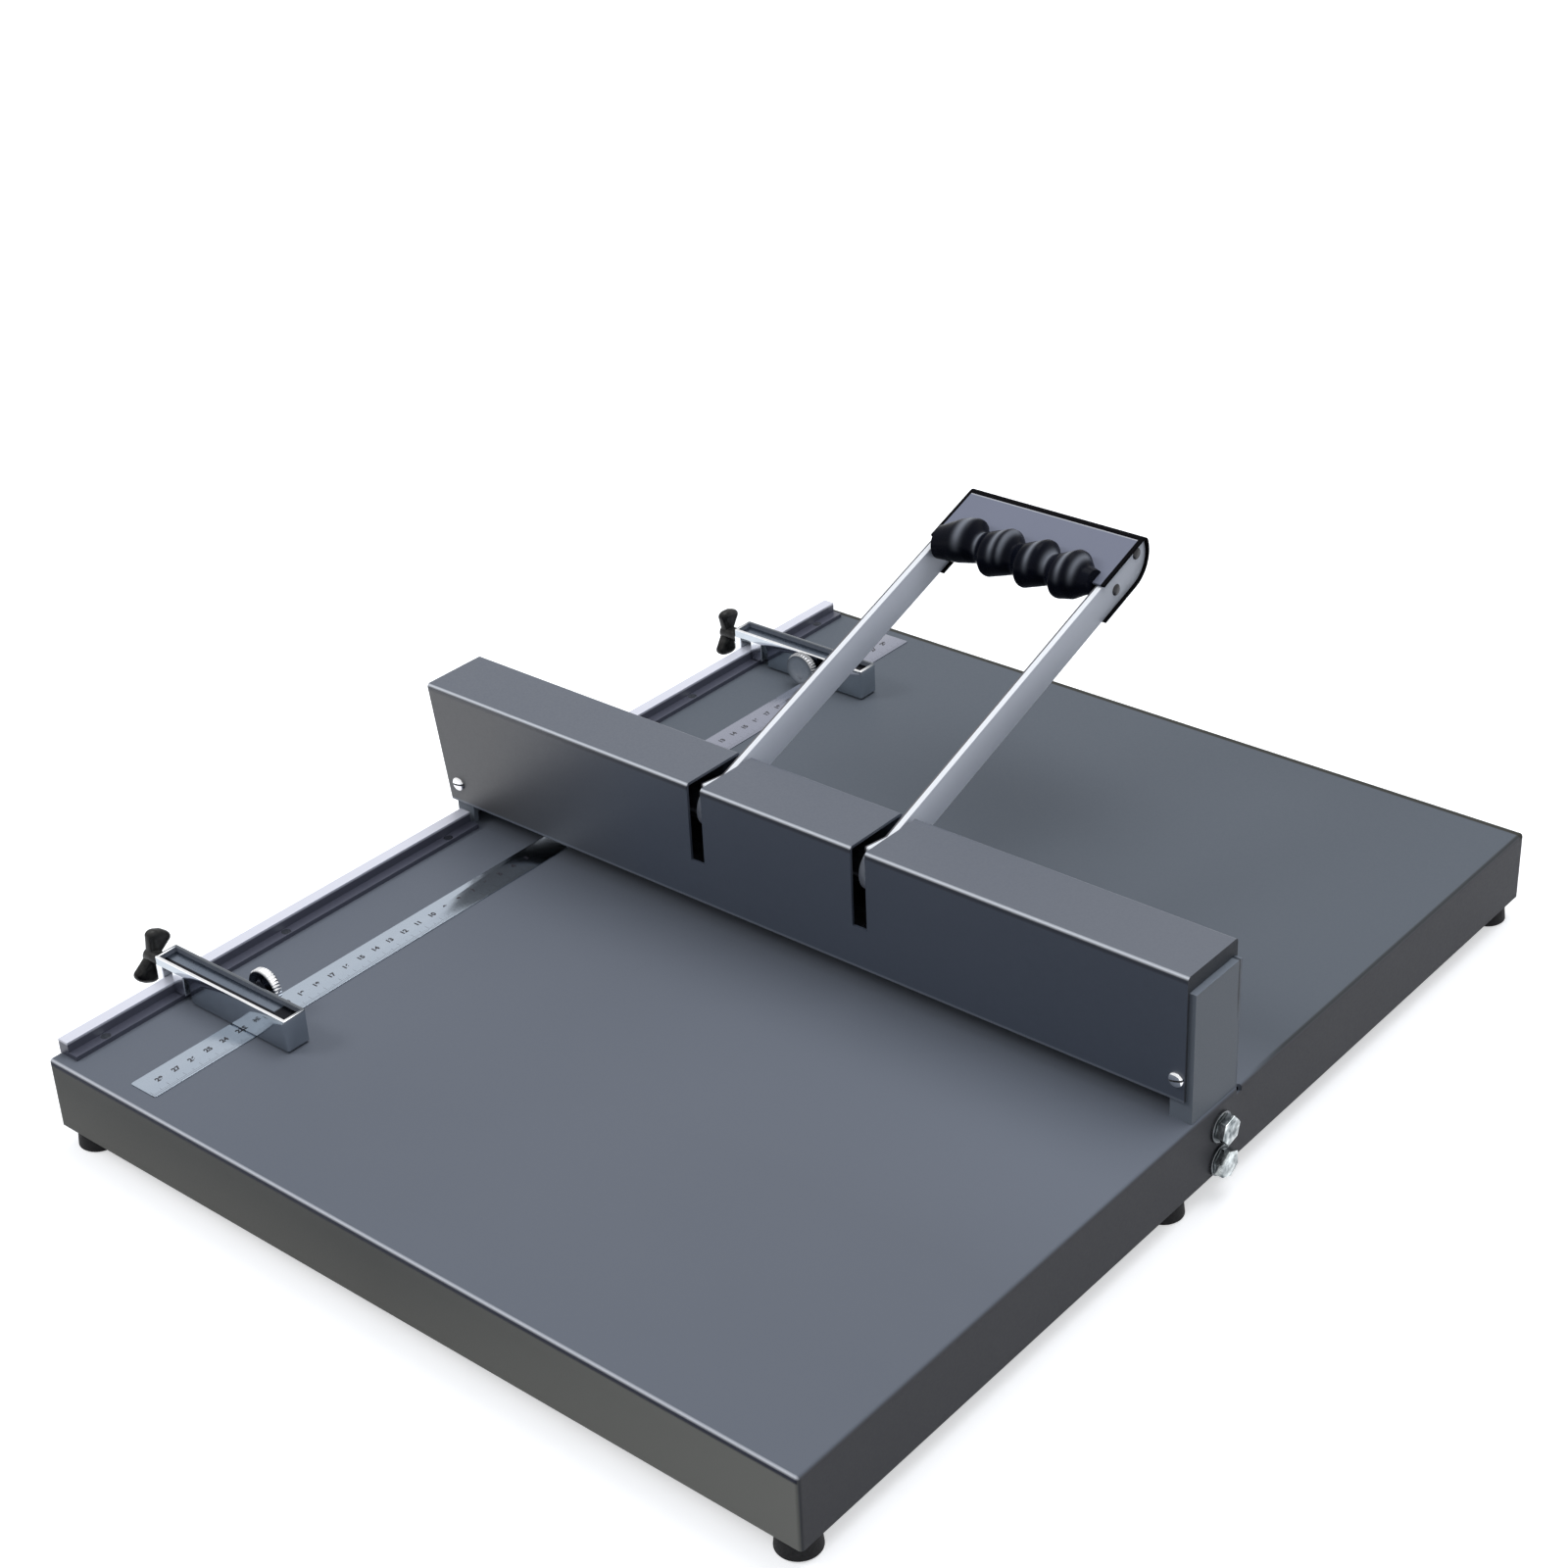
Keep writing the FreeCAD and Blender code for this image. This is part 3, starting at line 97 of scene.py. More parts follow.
window = softbox("window_left", (-1.5, -1.3, 1.7), aim=(0, 0, 0.1), width=1.0, height=0.7, watts=15,
                 colour=(1.0, 0.99, 0.97))
window.visible_glossy = False
softbox("ceiling", (0.2, 0.7, 2.4), aim=(0, 0, 0), width=2.2, height=1.6, watts=30)
softbox("fill_right", (1.9, -0.6, 0.7), aim=(0, 0, 0.1), width=0.8, height=1.0, watts=0.4)

world = bpy.data.worlds.new("studio")
bpy.context.scene.world = world
world.use_nodes = True
tree = world.node_tree
tree.nodes.clear()


def link(tree, source, target):
    """Joins one node's output socket to another's input socket."""
    tree.links.new(source, target)


def add(tree, kind, **values):
    """A node of a shader tree, with its sockets or settings filled in by name."""
    node = tree.nodes.new(kind)
    for name, value in values.items():
        socket = node.inputs.get(name.replace("_", " ")) if hasattr(node, "inputs") else None
        if socket is not None:
            socket.default_value = value
        else:
            setattr(node, name, value)
    return node


def combined(tree, way, first, second):
    """The product, sum or other combination of two greys."""
    node = add(tree, "ShaderNodeMath", operation=way)
    for socket, value in zip(node.inputs, (first, second)):
        if isinstance(value, (int, float)):
            socket.default_value = value
        else:
            link(tree, value, socket)
    return node.outputs[0]


def background_rays(tree):
    """1 for rays from the camera and for what metal and glass show, 0 for light that falls on the object.
    It is the greatest of the three kinds of ray."""
    ray = add(tree, "ShaderNodeLightPath")
    mirrored = combined(tree, "MAXIMUM", ray.outputs["Is Glossy Ray"], ray.outputs["Is Transmission Ray"])
    return combined(tree, "MAXIMUM", ray.outputs["Is Camera Ray"], mirrored)


# The world is brighter overhead than at the horizon, and plain white to the camera and in mirrors.
HORIZON_LIGHT = (0.055, 0.054, 0.052, 1)
OVERHEAD_LIGHT = (0.78, 0.82, 0.88, 1)
OVERHEAD_FROM = 0.9
WORLD_STRENGTH = 0.75
place = add(tree, "ShaderNodeTexCoord")
split = add(tree, "ShaderNodeSeparateXYZ")
ramp = add(tree, "ShaderNodeValToRGB")
horizon, overhead = ramp.color_ramp.elements
horizon.color = HORIZON_LIGHT
overhead.color = OVERHEAD_LIGHT
overhead.position = OVERHEAD_FROM
lit = add(tree, "ShaderNodeBackground", Strength=WORLD_STRENGTH)
seen = add(tree, "ShaderNodeBackground", Strength=1.0)
seen.inputs["Color"].default_value = (1, 1, 1, 1)
choice = add(tree, "ShaderNodeMixShader")
link(tree, place.outputs["Generated"], split.inputs["Vector"])
link(tree, split.outputs["Z"], ramp.inputs["Fac"])
link(tree, ramp.outputs["Color"], lit.inputs["Color"])
link(tree, background_rays(tree), choice.inputs["Fac"])
link(tree, lit.outputs["Background"], choice.inputs[1])
link(tree, seen.outputs["Background"], choice.inputs[2])
link(tree, choice.outputs["Shader"], add(tree, "ShaderNodeOutputWorld").inputs["Surface"])

# The floor is pale and glows a little in the picture, but throws hardly any light back on the object.
FLOOR_REACH = 6.0
FLOOR_PALE = (0.86, 0.87, 0.89, 1)
FLOOR_BOUNCE = (0.06, 0.058, 0.054, 1)
FLOOR_GLOW = 0.55
floor_mesh = bpy.data.meshes.new("floor")
floor_mesh.from_pydata([(-FLOOR_REACH, -FLOOR_REACH, 0), (FLOOR_REACH, -FLOOR_REACH, 0),
                        (FLOOR_REACH, FLOOR_REACH, 0), (-FLOOR_REACH, FLOOR_REACH, 0)], [], [(0, 1, 2, 3)])
floor = bpy.data.objects.new("floor", floor_mesh)
bpy.context.scene.collection.objects.link(floor)
paper = bpy.data.materials.new("floor_paper")
paper.use_nodes = True
tree = paper.node_tree
tree.nodes.clear()
matt = add(tree, "ShaderNodeBsdfDiffuse")
matt.inputs["Color"].default_value = FLOOR_PALE
dim = add(tree, "ShaderNodeBsdfDiffuse")
dim.inputs["Color"].default_value = FLOOR_BOUNCE
glow = add(tree, "ShaderNodeEmission", Strength=FLOOR_GLOW)
both = add(tree, "ShaderNodeAddShader")
pick = add(tree, "ShaderNodeMixShader")
link(tree, matt.outputs[0], both.inputs[0])
link(tree, glow.outputs[0], both.inputs[1])
link(tree, background_rays(tree), pick.inputs[0])
link(tree, dim.outputs[0], pick.inputs[1])
link(tree, both.outputs[0], pick.inputs[2])
link(tree, pick.outputs[0], add(tree, "ShaderNodeOutputMaterial").inputs["Surface"])
floor_mesh.materials.append(paper)

# ---- Table: folded steel tray, powder coated slate grey ------------------------------------------
# One sheet folded down at all four sides and in again underneath. The coat is fine grained and satin,
# with a painted highlight along the front fold, and painted light that makes the front skirt paler toward
# the right.
POWDER_GRAIN = (0.0011, 0.00001)
ROUGH_DRIFT = 0.15
ON_FACE = (0.0008, 0.0002)
ON_FOLD = (0.0016, 0.0006)
UNDER_FOLD = (0.0040, 0.0028)


def noise(tree, where, scale, detail=2.0, stretch=(1, 1, 1)):
    """Grey noise on the object's own coordinates, in cycles per metre along each axis."""
    mapping = add(tree, "ShaderNodeMapping")
    mapping.inputs["Scale"].default_value = stretch
    link(tree, where, mapping.inputs["Vector"])
    grain = add(tree, "ShaderNodeTexNoise", Scale=scale, Detail=detail)
    link(tree, mapping.outputs["Vector"], grain.inputs["Vector"])
    return grain.outputs["Fac"]


def between(tree, share, low, high, start=0.3, end=0.7):
    """Maps a grey of start to end onto low to high in a straight line, held at both ends."""
    node = add(tree, "ShaderNodeMapRange")
    for name, value in (("From Min", start), ("From Max", end), ("To Min", low), ("To Max", high)):
        node.inputs[name].default_value = value
    link(tree, share, node.inputs["Value"])
    return node.outputs["Result"]


def blend_colours(tree, share, first, second):
    """Mixes two colours, each a plain colour or another node's output, by a share from 0 to 1."""
    mix = add(tree, "ShaderNodeMix", data_type="RGBA")
    for socket, colour in ((mix.inputs[6], first), (mix.inputs[7], second)):
        if isinstance(colour, tuple):
            socket.default_value = (*colour, 1)
        else:
            link(tree, colour, socket)
    link(tree, share, mix.inputs[0])
    return mix.outputs[2]


def along(tree, where, axis):
    """One coordinate of a place, by the letter of its axis."""
    split = add(tree, "ShaderNodeSeparateXYZ")
    link(tree, where, split.inputs["Vector"])
    return split.outputs[axis]


def band_share(tree, where, limits):
    """1 in a band of the object and 0 outside it: the product of a ramp for each limit. A limit is an axis,
    where the band begins on it and where it is full, in metres."""
    total = None
    for axis, begins, full in limits:
        share = between(tree, along(tree, where, axis), 0, 1, begins, full)
        total = share if total is None else combined(tree, "MULTIPLY", total, share)
    return total


def finish_of(name, dark, light, metal, rough, grain, cloud=4.0, stretch=(1, 1, 1), specular=0.5, bands=(),
              edge_colour=None):
    """A surface finish. Its colour drifts between dark and light in broad clouds, its roughness with a
    finer noise, and the grain is a bump of the given size and height in metres. Each band is its limits and
    its colour, laid over the ones before it."""
    grain_size, grain_height = grain
    material = bpy.data.materials.new(name)
    material.use_nodes = True
    tree = material.node_tree
    tree.nodes.clear()
    shader = add(tree, "ShaderNodeBsdfPrincipled", Metallic=metal, Roughness=rough)
    shader.inputs["Specular IOR Level"].default_value = specular
    where = add(tree, "ShaderNodeTexCoord").outputs["Object"]
    clouds = noise(tree, where, cloud, 4.0, stretch)
    colour = blend_colours(tree, between(tree, clouds, 0, 1), dark, light)
    for limits, band_colour in bands:
        colour = blend_colours(tree, band_share(tree, where, limits), colour, band_colour)
    if edge_colour:
        edge = add(tree, "ShaderNodeAttribute", attribute_name="edge")
        colour = blend_colours(tree, edge.outputs["Fac"], colour, edge_colour)
    link(tree, colour, shader.inputs["Base Color"])
    fine = noise(tree, where, 1 / grain_size, 2.0, stretch)
    drifting = between(tree, fine, rough * (1 - ROUGH_DRIFT), rough * (1 + ROUGH_DRIFT))
    link(tree, drifting, shader.inputs["Roughness"])
    bump = add(tree, "ShaderNodeBump", Strength=1.0, Distance=grain_height)
    link(tree, fine, bump.inputs["Height"])
    link(tree, bump.outputs["Normal"], shader.inputs["Normal"])
    link(tree, shader.outputs["BSDF"], add(tree, "ShaderNodeOutputMaterial").inputs["Surface"])
    return material


def dress(names, material):
    """Gives shown CAD nodes their finish."""
    for name in names:
        mesh = nodes[name].data
        mesh.materials.clear()
        mesh.materials.append(material)


def from_face(axis, face, way, reach):
    """A band's limit by a face of a box. The band begins at the first reach in from the face and is full at
    the second, and the way is 1 where inward is up the axis and -1 where it is down it."""
    return axis, face + way * reach[0], face + way * reach[1]


table_low, table_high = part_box("table_tray")
TABLE_TOP = table_high[2]
on_front = from_face("Y", table_low[1], 1, ON_FACE)
# All of these are painted light and shade. First the top: painted light makes it paler in front of the
# bridge, painted shade makes it duller behind it and dark along its right edge. Then the skirt: its right
# side in painted shade, and its front in painted light, with the lighter foot, the lighter right half and a
# painted shade line under the fold. Last a painted shade line along the rear fold and a painted highlight
# along the front fold.
table_painted_light_and_shade = [
    ([("Y", -0.16, -0.04), ("X", -0.05, 0.20)], (0.180, 0.201, 0.243)),
    ([("Y", 0.0, 0.06)], (0.119, 0.136, 0.161)),
    ([("Y", 0.03, 0.06), from_face("X", table_high[0], -1, (0.0026, 0.0016))], (0.060, 0.065, 0.070)),
    ([from_face("X", table_high[0], -1, ON_FACE)], (0.122, 0.124, 0.136)),
    ([on_front], (0.162, 0.166, 0.160)),
    ([on_front, from_face("Z", TABLE_TOP, -1, (0.010, 0.034))], (0.215, 0.215, 0.203)),
    ([on_front, ("X", 0.0, 0.28)], (0.395, 0.398, 0.375)),
    ([on_front, from_face("Z", TABLE_TOP, -1, UNDER_FOLD)], (0.040, 0.045, 0.070)),
    ([from_face("Y", table_high[1], -1, (0.0050, 0.0040)), from_face("Z", TABLE_TOP, -1, (0.0030, 0.0020))],
     (0.045, 0.045, 0.040)),
    ([from_face("Y", table_low[1], 1, ON_FOLD), from_face("Z", TABLE_TOP, -1, ON_FOLD)],
     (0.74, 0.76, 0.82))]
slate_coat = finish_of("slate_powder_coat", (0.138, 0.154, 0.186), (0.149, 0.165, 0.198), metal=0.0,
                       rough=0.50, grain=POWDER_GRAIN, specular=0.09, bands=table_painted_light_and_shade)
dress(["table_tray"], slate_coat)

# ---- Bridge cover and uprights -------------------------------------------------------------------
# The cover is a folded channel open at its ends, in the same coat as the table but a little darker, and
# screwed to a folded upright at either end. Painted light makes its front warmer on the left; it has a
# paler lower edge, and a painted highlight on the upper fold with a painted shade line under it.
CUT_END = 0.0002
cover_low, cover_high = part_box("bridge_cover")
on_cover_front = from_face("Y", cover_low[1], 1, ON_FACE)
# Painted light on the left of the front, the paler lower edge, a painted shade line under the upper fold
# and a painted highlight on the fold.
cover_bands = [
    ([on_cover_front, ("X", -0.09, -0.20)], (0.086, 0.088, 0.094)),
    ([on_cover_front, from_face("Z", cover_low[2], 1, (0.0016, 0.0010))], (0.16, 0.18, 0.22)),
    ([on_cover_front, from_face("Z", cover_high[2], -1, UNDER_FOLD)], (0.020, 0.024, 0.036)),
    ([from_face("Y", cover_low[1], 1, ON_FOLD), from_face("Z", cover_high[2], -1, ON_FOLD)],
     (0.75, 0.78, 0.84))]
cover_coat = finish_of("cover_powder_coat", (0.068, 0.083, 0.114), (0.074, 0.089, 0.122), metal=0.0,
                       rough=0.42, grain=POWDER_GRAIN, specular=0.8, bands=cover_bands)
dress(["bridge_cover"], cover_coat)
# The sheet's end faces at the cover's right end get a darker, duller coat: painted shade.
end_shade_coat = finish_of("end_shade_coat", (0.085, 0.092, 0.105), (0.090, 0.097, 0.110), metal=0.0,
                          rough=0.6, grain=POWDER_GRAIN, specular=0.1)
cover_sheet = nodes["bridge_cover"].data
cover_sheet.materials.append(end_shade_coat)
face_places = np.empty(len(cover_sheet.polygons) * 3)
cover_sheet.polygons.foreach_get("center", face_places)
at_right_end = face_places.reshape(-1, 3)[:, 0] > cover_high[0] - CUT_END
cover_sheet.polygons.foreach_set("material_index", at_right_end.astype(np.int32))
# Painted shade makes an upright darker at the top near its rear edge, and a narrower, less dark line of
# painted shade runs down the edge itself.
upright_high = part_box("right_upright")[1]
upright_painted_shade = [
    ([from_face("Y", upright_high[1], -1, (0.0030, 0.0022)),
      from_face("Z", upright_high[2], -1, (0.034, 0.020))], (0.045, 0.055, 0.070)),
    ([from_face("Y", upright_high[1], -1, (0.0014, 0.0010))], (0.18, 0.205, 0.25))]
upright_coat = finish_of("upright_powder_coat", (0.21, 0.24, 0.285), (0.225, 0.255, 0.30), metal=0.0,
                         rough=0.45, grain=POWDER_GRAIN, specular=0.2, bands=upright_painted_shade)
dress(["left_upright", "right_upright"], upright_coat)

# ---- Mechanism under the cover -------------------------------------------------------------------
# Shaft, cams, blade and anvil are ground and oiled steel. The beams, guides and clamp are blackened, so
# near black that the finish also serves as painted shade under the cover. The bearings are sintered
# bronze, and the small screws and nuts zinc plated.
ground_steel = finish_of("ground_steel", (0.30, 0.30, 0.31), (0.40, 0.40, 0.41), metal=1.0, rough=0.32,
                         grain=(0.0009, 0.000008), cloud=60, stretch=(0.08, 1, 1))
dress(["cross_shaft", "shaft_collars", "left_cam", "right_cam", "lower_anvil", "creasing_blade",
       "cam_pads"], ground_steel)
black_oxide_and_shade = finish_of("black_oxide_and_shade", (0.012, 0.012, 0.013), (0.022, 0.022, 0.024), metal=0.4, rough=0.42,
                        grain=(0.0008, 0.00001), cloud=40)
dress(["press_beam", "bed_beam", "left_guide_block", "right_guide_block", "blade_clamp", "roll_pins"],
      black_oxide_and_shade)
bronze = finish_of("bearing_bronze", (0.40, 0.25, 0.11), (0.50, 0.33, 0.16), metal=1.0, rough=0.38,
                   grain=(0.0006, 0.00001), cloud=80)
dress(["left_bearing", "right_bearing"], bronze)
zinc = finish_of("zinc_plate", (0.36, 0.39, 0.40), (0.60, 0.63, 0.63), metal=1.0, rough=0.16,
                 grain=(0.0016, 0.00006), cloud=160)
dress(["foot_screws", "foot_nuts", "anvil_screws", "clamp_screws", "guide_screws", "rail_screws",
       "front_wing_stud", "rear_wing_stud"], zinc)

# ---- Return springs ------------------------------------------------------------------------------
# Hard-drawn wire, wound as a right-hand coil. They stand on the table under the press beam's ends. The
# real springs shorten as the beam comes down; these coils keep one length and move with the frame.
SPRING_TURNS = 6
WIRE = 0.0005
STEPS_A_TURN = 24
STEPS_ROUND = 14
spring_steel = finish_of("spring_steel", (0.30, 0.30, 0.32), (0.42, 0.42, 0.44), metal=1.0, rough=0.3,
                         grain=(0.0006, 0.000005), cloud=150)


def loft(rings):
    """Four-sided faces between rings of points, each ring a closed line, with a flat cap at either end.
    Point s of ring r is number r * around + s, and a face joins two neighbours on one ring to the two
    beside them on the next."""
    rings = np.asarray(rings, float)
    count, around = rings.shape[:2]
    start = np.arange(count - 1)[:, None] * around
    step = np.arange(around)[None, :]
    after = (step + 1) % around
    quads = np.stack([start + step, start + after, start + around + after, start + around + step], -1)
    caps = [np.arange(around)[::-1].tolist(), np.arange((count - 1) * around, count * around).tolist()]
    return rings.reshape(-1, 3), quads.reshape(-1, 4).tolist() + caps


def piece(name, parts, finish, body, stands_for=(), crease=35, edge=None, zones=None):
    """One object made of one or more closed skins, with its finish and the body that it moves with. Edge is
    the share of edge colour at each point. Zones, where the finish is several, is the one each face has."""
    faces, first = [], 0
    for corners, polygons in parts:
        faces += [(np.array(polygon) + first).tolist() for polygon in polygons]
        first += len(corners)
    mesh = bpy.data.meshes.new(name)
    mesh.from_pydata(np.concatenate([part[0] for part in parts]).tolist(), [], faces)
    if edge is not None:
        shade = mesh.attributes.new("edge", "FLOAT", "POINT")
        shade.data.foreach_set("value", np.concatenate(edge).astype(np.float32))
    skin = bmesh.new()
    skin.from_mesh(mesh)
    bmesh.ops.recalc_face_normals(skin, faces=skin.faces)
    skin.to_mesh(mesh)
    skin.free()
    mesh.shade_smooth()
    mesh.set_sharp_from_angle(angle=math.radians(crease))
    for material in finish if zones is not None else [finish]:
        mesh.materials.append(material)
    if zones is not None:
        mesh.polygons.foreach_set("material_index", zones)
    thing = bpy.data.objects.new(name, mesh)
    bpy.context.scene.collection.objects.link(thing)
    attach(thing, body)
    if stands_for:
        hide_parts(*stands_for)
    return thing


for side in ("left", "right"):
    low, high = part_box(f"{side}_return_spring")
    centre = (np.array(low) + np.array(high)) / 2
    coil_radius = (high[0] - low[0]) / 2 - WIRE
    turn = np.linspace(0, SPRING_TURNS * 2 * math.pi, SPRING_TURNS * STEPS_A_TURN + 1)
    rise = np.linspace(low[2] + WIRE, high[2] - WIRE, len(turn))
    outward = np.stack([np.cos(turn), np.sin(turn), np.zeros_like(turn)], 1)
    middle = coil_radius * outward + np.column_stack([np.tile(centre[:2], (len(turn), 1)), rise])
    round_wire = np.linspace(0, 2 * math.pi, STEPS_ROUND, endpoint=False)
    section = (outward[:, None, :] * np.cos(round_wire)[None, :, None]
               + np.array([0, 0, 1.0]) * np.sin(round_wire)[None, :, None]) * WIRE
    coil = piece(f"{side}_spring_wire", [loft(middle[:, None, :] + section)], spring_steel, "frame",
                 [f"{side}_return_spring"])
    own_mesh(coil)

# ---- Bolts and washers on the skirt ---------------------------------------------------------------
# Zinc-plated hexagon bolts with rounded-off heads on plain washers, two at each end of the bridge. They
# go through the skirt and the upright into the end of the bed beam.
BOLT_LEVELS = (0.038, 0.019)
BOLT_BACK = 0.003
BOLT_HEAD_RADIUS = 0.0075
BOLT_HEAD_HEIGHT = 0.0053
BOLT_BEVEL = 0.0007
BOLT_TURNS = (12, 37)
WASHER_RADIUS = 0.008
WASHER_GAUGE = 0.0016
WASHER_EDGE = 0.0002


def inset(outline, amount):
    """The outline moved inward by the amount: each corner goes along the sum of the unit normals of its two
    sides, times the amount over 1 + their dot product."""
    along_in = outline - np.roll(outline, 1, 0)
    along_out = np.roll(outline, -1, 0) - outline
    along_in /= np.linalg.norm(along_in, axis=1)[:, None]
    along_out /= np.linalg.norm(along_out, axis=1)[:, None]
    inward_in = np.stack([-along_in[:, 1], along_in[:, 0]], 1)
    inward_out = np.stack([-along_out[:, 1], along_out[:, 0]], 1)
    share = 1 + np.sum(inward_in * inward_out, 1)
    return outline + (inward_in + inward_out) / share[:, None] * amount


def slab_rings(outline, low, high, bevel):
    """Rings of a flat piece between two levels, its edges rounded over by quarter circles: each ring is
    inset by bevel * (1 - sin), at a depth of bevel * (1 - cos)."""
    turn = np.radians([0, 30, 60, 90])
    inward, depth = bevel * (1 - np.sin(turn)), bevel * (1 - np.cos(turn))
    lines = [inset(outline, amount) for amount in inward]
    first = [np.column_stack([line, np.full(len(line), low + d)]) for line, d in zip(lines, depth)]
    last = [np.column_stack([line, np.full(len(line), high - d)]) for line, d in zip(lines, depth)]
    return np.array(first + last[::-1])


ORDER = {"X": [2, 0, 1], "Y": [0, 2, 1], "Z": [0, 1, 2]}


def slab(outline, low, high, bevel, axis="X"):
    """A flat piece whose outline lies across the given axis, and runs from low to high along it."""
    return loft(slab_rings(np.asarray(outline, float), low, high, bevel)[:, :, ORDER[axis]])


def turned(profile, axis, centre, steps=48, knurl=None):
    """A turned piece: a line of (place along the axis, radius) carried round it, so that a point is its
    radius times the cosine and sine of the angle. The knurl is a factor on the radius at each step."""
    angle = np.linspace(0, 2 * math.pi, steps, endpoint=False)
    places, radii = np.array(profile, float).T
    ring = np.stack([np.cos(angle), np.sin(angle)], 1)[None] * radii[:, None, None]
    if knurl is not None:
        ring = ring * knurl[:, :, None]
    rings = np.concatenate([ring, np.broadcast_to(places[:, None, None], (len(places), steps, 1))], 2)
    return loft(rings[:, :, ORDER[axis]] + np.array(centre))


def hexagon(radius, start):
    """The corners of a hexagon, radius out from its middle, the first at the start angle."""
    angle = start + np.arange(6) * 2 * math.pi / 6
    return np.stack([np.cos(angle), np.sin(angle)], 1) * radius


bolt_parts = []
washer_parts = []
bolt_low, bolt_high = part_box("upright_bolts")
for face, outward in ((bolt_low[0], -1), (bolt_high[0], 1)):
    for level, bolt_turn in zip(BOLT_LEVELS, BOLT_TURNS):
        start = face - outward * BOLT_HEAD_HEIGHT
        head = hexagon(BOLT_HEAD_RADIUS, math.radians(bolt_turn)) + np.array([BOLT_BACK, level])
        bolt_parts.append(slab(head, *sorted((start, face)), BOLT_BEVEL))
        ring = start - outward * WASHER_GAUGE
        washer_parts.append(turned([
            (ring, WASHER_RADIUS - WASHER_EDGE), (ring + outward * WASHER_EDGE, WASHER_RADIUS),
            (start - outward * WASHER_EDGE, WASHER_RADIUS), (start, WASHER_RADIUS - WASHER_EDGE)],
            "X", (0, BOLT_BACK, level)))
bolt_zinc = finish_of("bolt_zinc", (0.09, 0.11, 0.12), (0.86, 0.91, 0.91), metal=1.0, rough=0.16,
                      grain=(0.0016, 0.00006), cloud=230)
piece("skirt_bolts", bolt_parts, bolt_zinc, "frame", ["upright_bolts"])
# The washers' darker zinc is painted shade under the bolt heads.
dark_zinc = finish_of("shaded_washer_zinc", (0.10, 0.11, 0.12), (0.22, 0.23, 0.24), metal=1.0, rough=0.3,
                      grain=(0.001, 0.00002), cloud=200)
piece("skirt_washers", washer_parts, dark_zinc, "frame", ["upright_washers"])

# ---- Cover screws --------------------------------------------------------------------------------
# Bright nickel-plated pan heads with a slot, two in front and two behind, screwed through the cover into
# the uprights' flanges.
SCREW_RADIUS = 0.004
SCREW_DOME = 0.002
SLOT_HALF = 0.0005
SLOT_DEPTH = 0.0012
SLOT_FLOOR = 0.9
SCREW_SUNK = 0.0001
SCREW_TILTS = (0.15, 0.25)
DOME_REACH = 0.97
bright_metal = finish_of("bright_nickel", (0.80, 0.81, 0.83), (0.90, 0.90, 0.91), metal=1.0, rough=0.12,
                         grain=(0.0008, 0.000005), cloud=300)
dark_slot = finish_of("slot_shadow", (0.02, 0.02, 0.022), (0.03, 0.03, 0.032), metal=0.2, rough=0.6,
                      grain=(0.0008, 0.00001))


def half_dome(centre, outward, way, tilt):
    """One side of a slotted pan head, as sections across the slot. Each section runs up the slot's wall and
    down the dome, whose height is the fourth root of 1 - (distance / radius) squared."""
    along_slot = np.linspace(-DOME_REACH, DOME_REACH, 25) * SCREW_RADIUS
    reach = np.sqrt(SCREW_RADIUS ** 2 - along_slot ** 2)
    across = SLOT_HALF + (reach - SLOT_HALF)[:, None] * np.sin(np.linspace(0, math.pi / 2, 12))[None]
    distance = np.clip((along_slot[:, None] ** 2 + across ** 2) / SCREW_RADIUS ** 2, 0, 1)
    height = SCREW_DOME * (1 - distance) ** 0.25
    base = np.full((len(along_slot), 1), -SCREW_SUNK)
    across = np.hstack([across[:, :1], across, across[:, -1:]]) * way
    height = np.hstack([base, height, base])
    slot_way = along_slot[:, None] * np.ones_like(across)
    x = slot_way * math.cos(tilt) - across * math.sin(tilt) + centre[0]
    z = slot_way * math.sin(tilt) + across * math.cos(tilt) + centre[2]
    return loft(np.stack([x, centre[1] + outward * height, z], -1))


screws_low, screws_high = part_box("cover_screws")
screw_level = (screws_low[2] + screws_high[2]) / 2
screw_parts, slot_parts = [], []
for x, tilt in zip((screws_low[0] + SCREW_RADIUS, screws_high[0] - SCREW_RADIUS), SCREW_TILTS):
    for y, outward in ((cover_low[1], -1), (cover_high[1], 1)):
        centre = (x, y, screw_level)
        screw_parts += [half_dome(centre, outward, way, tilt) for way in (1, -1)]
        slot_parts.append(turned([
            (-outward * SCREW_SUNK, SCREW_RADIUS * SLOT_FLOOR),
            (outward * (SCREW_DOME - SLOT_DEPTH), SCREW_RADIUS * SLOT_FLOOR)], "Y", centre))
piece("cover_screw_heads", screw_parts, bright_metal, "frame", ["cover_screws"], crease=40)
piece("cover_screw_slots", slot_parts, dark_slot, "frame")

# ---- Rails ---------------------------------------------------------------------------------------
# A stepped aluminium bar screwed to the table's left edge, before and behind the bridge. The upstand's top
# is pale, and the ledge beside it dark anodised.
rail_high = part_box("front_rail")[1]
rail_bands = [([from_face("Z", rail_high[2], -1, ON_FOLD)], (0.74, 0.75, 0.84))]
rail_metal = finish_of("anodised_rail", (0.085, 0.090, 0.125), (0.105, 0.110, 0.145), metal=0.2, rough=0.34,
                       grain=(0.0004, 0.000004), cloud=30, stretch=(1, 0.02, 1), bands=rail_bands)
dress(["front_rail", "rear_rail"], rail_metal)

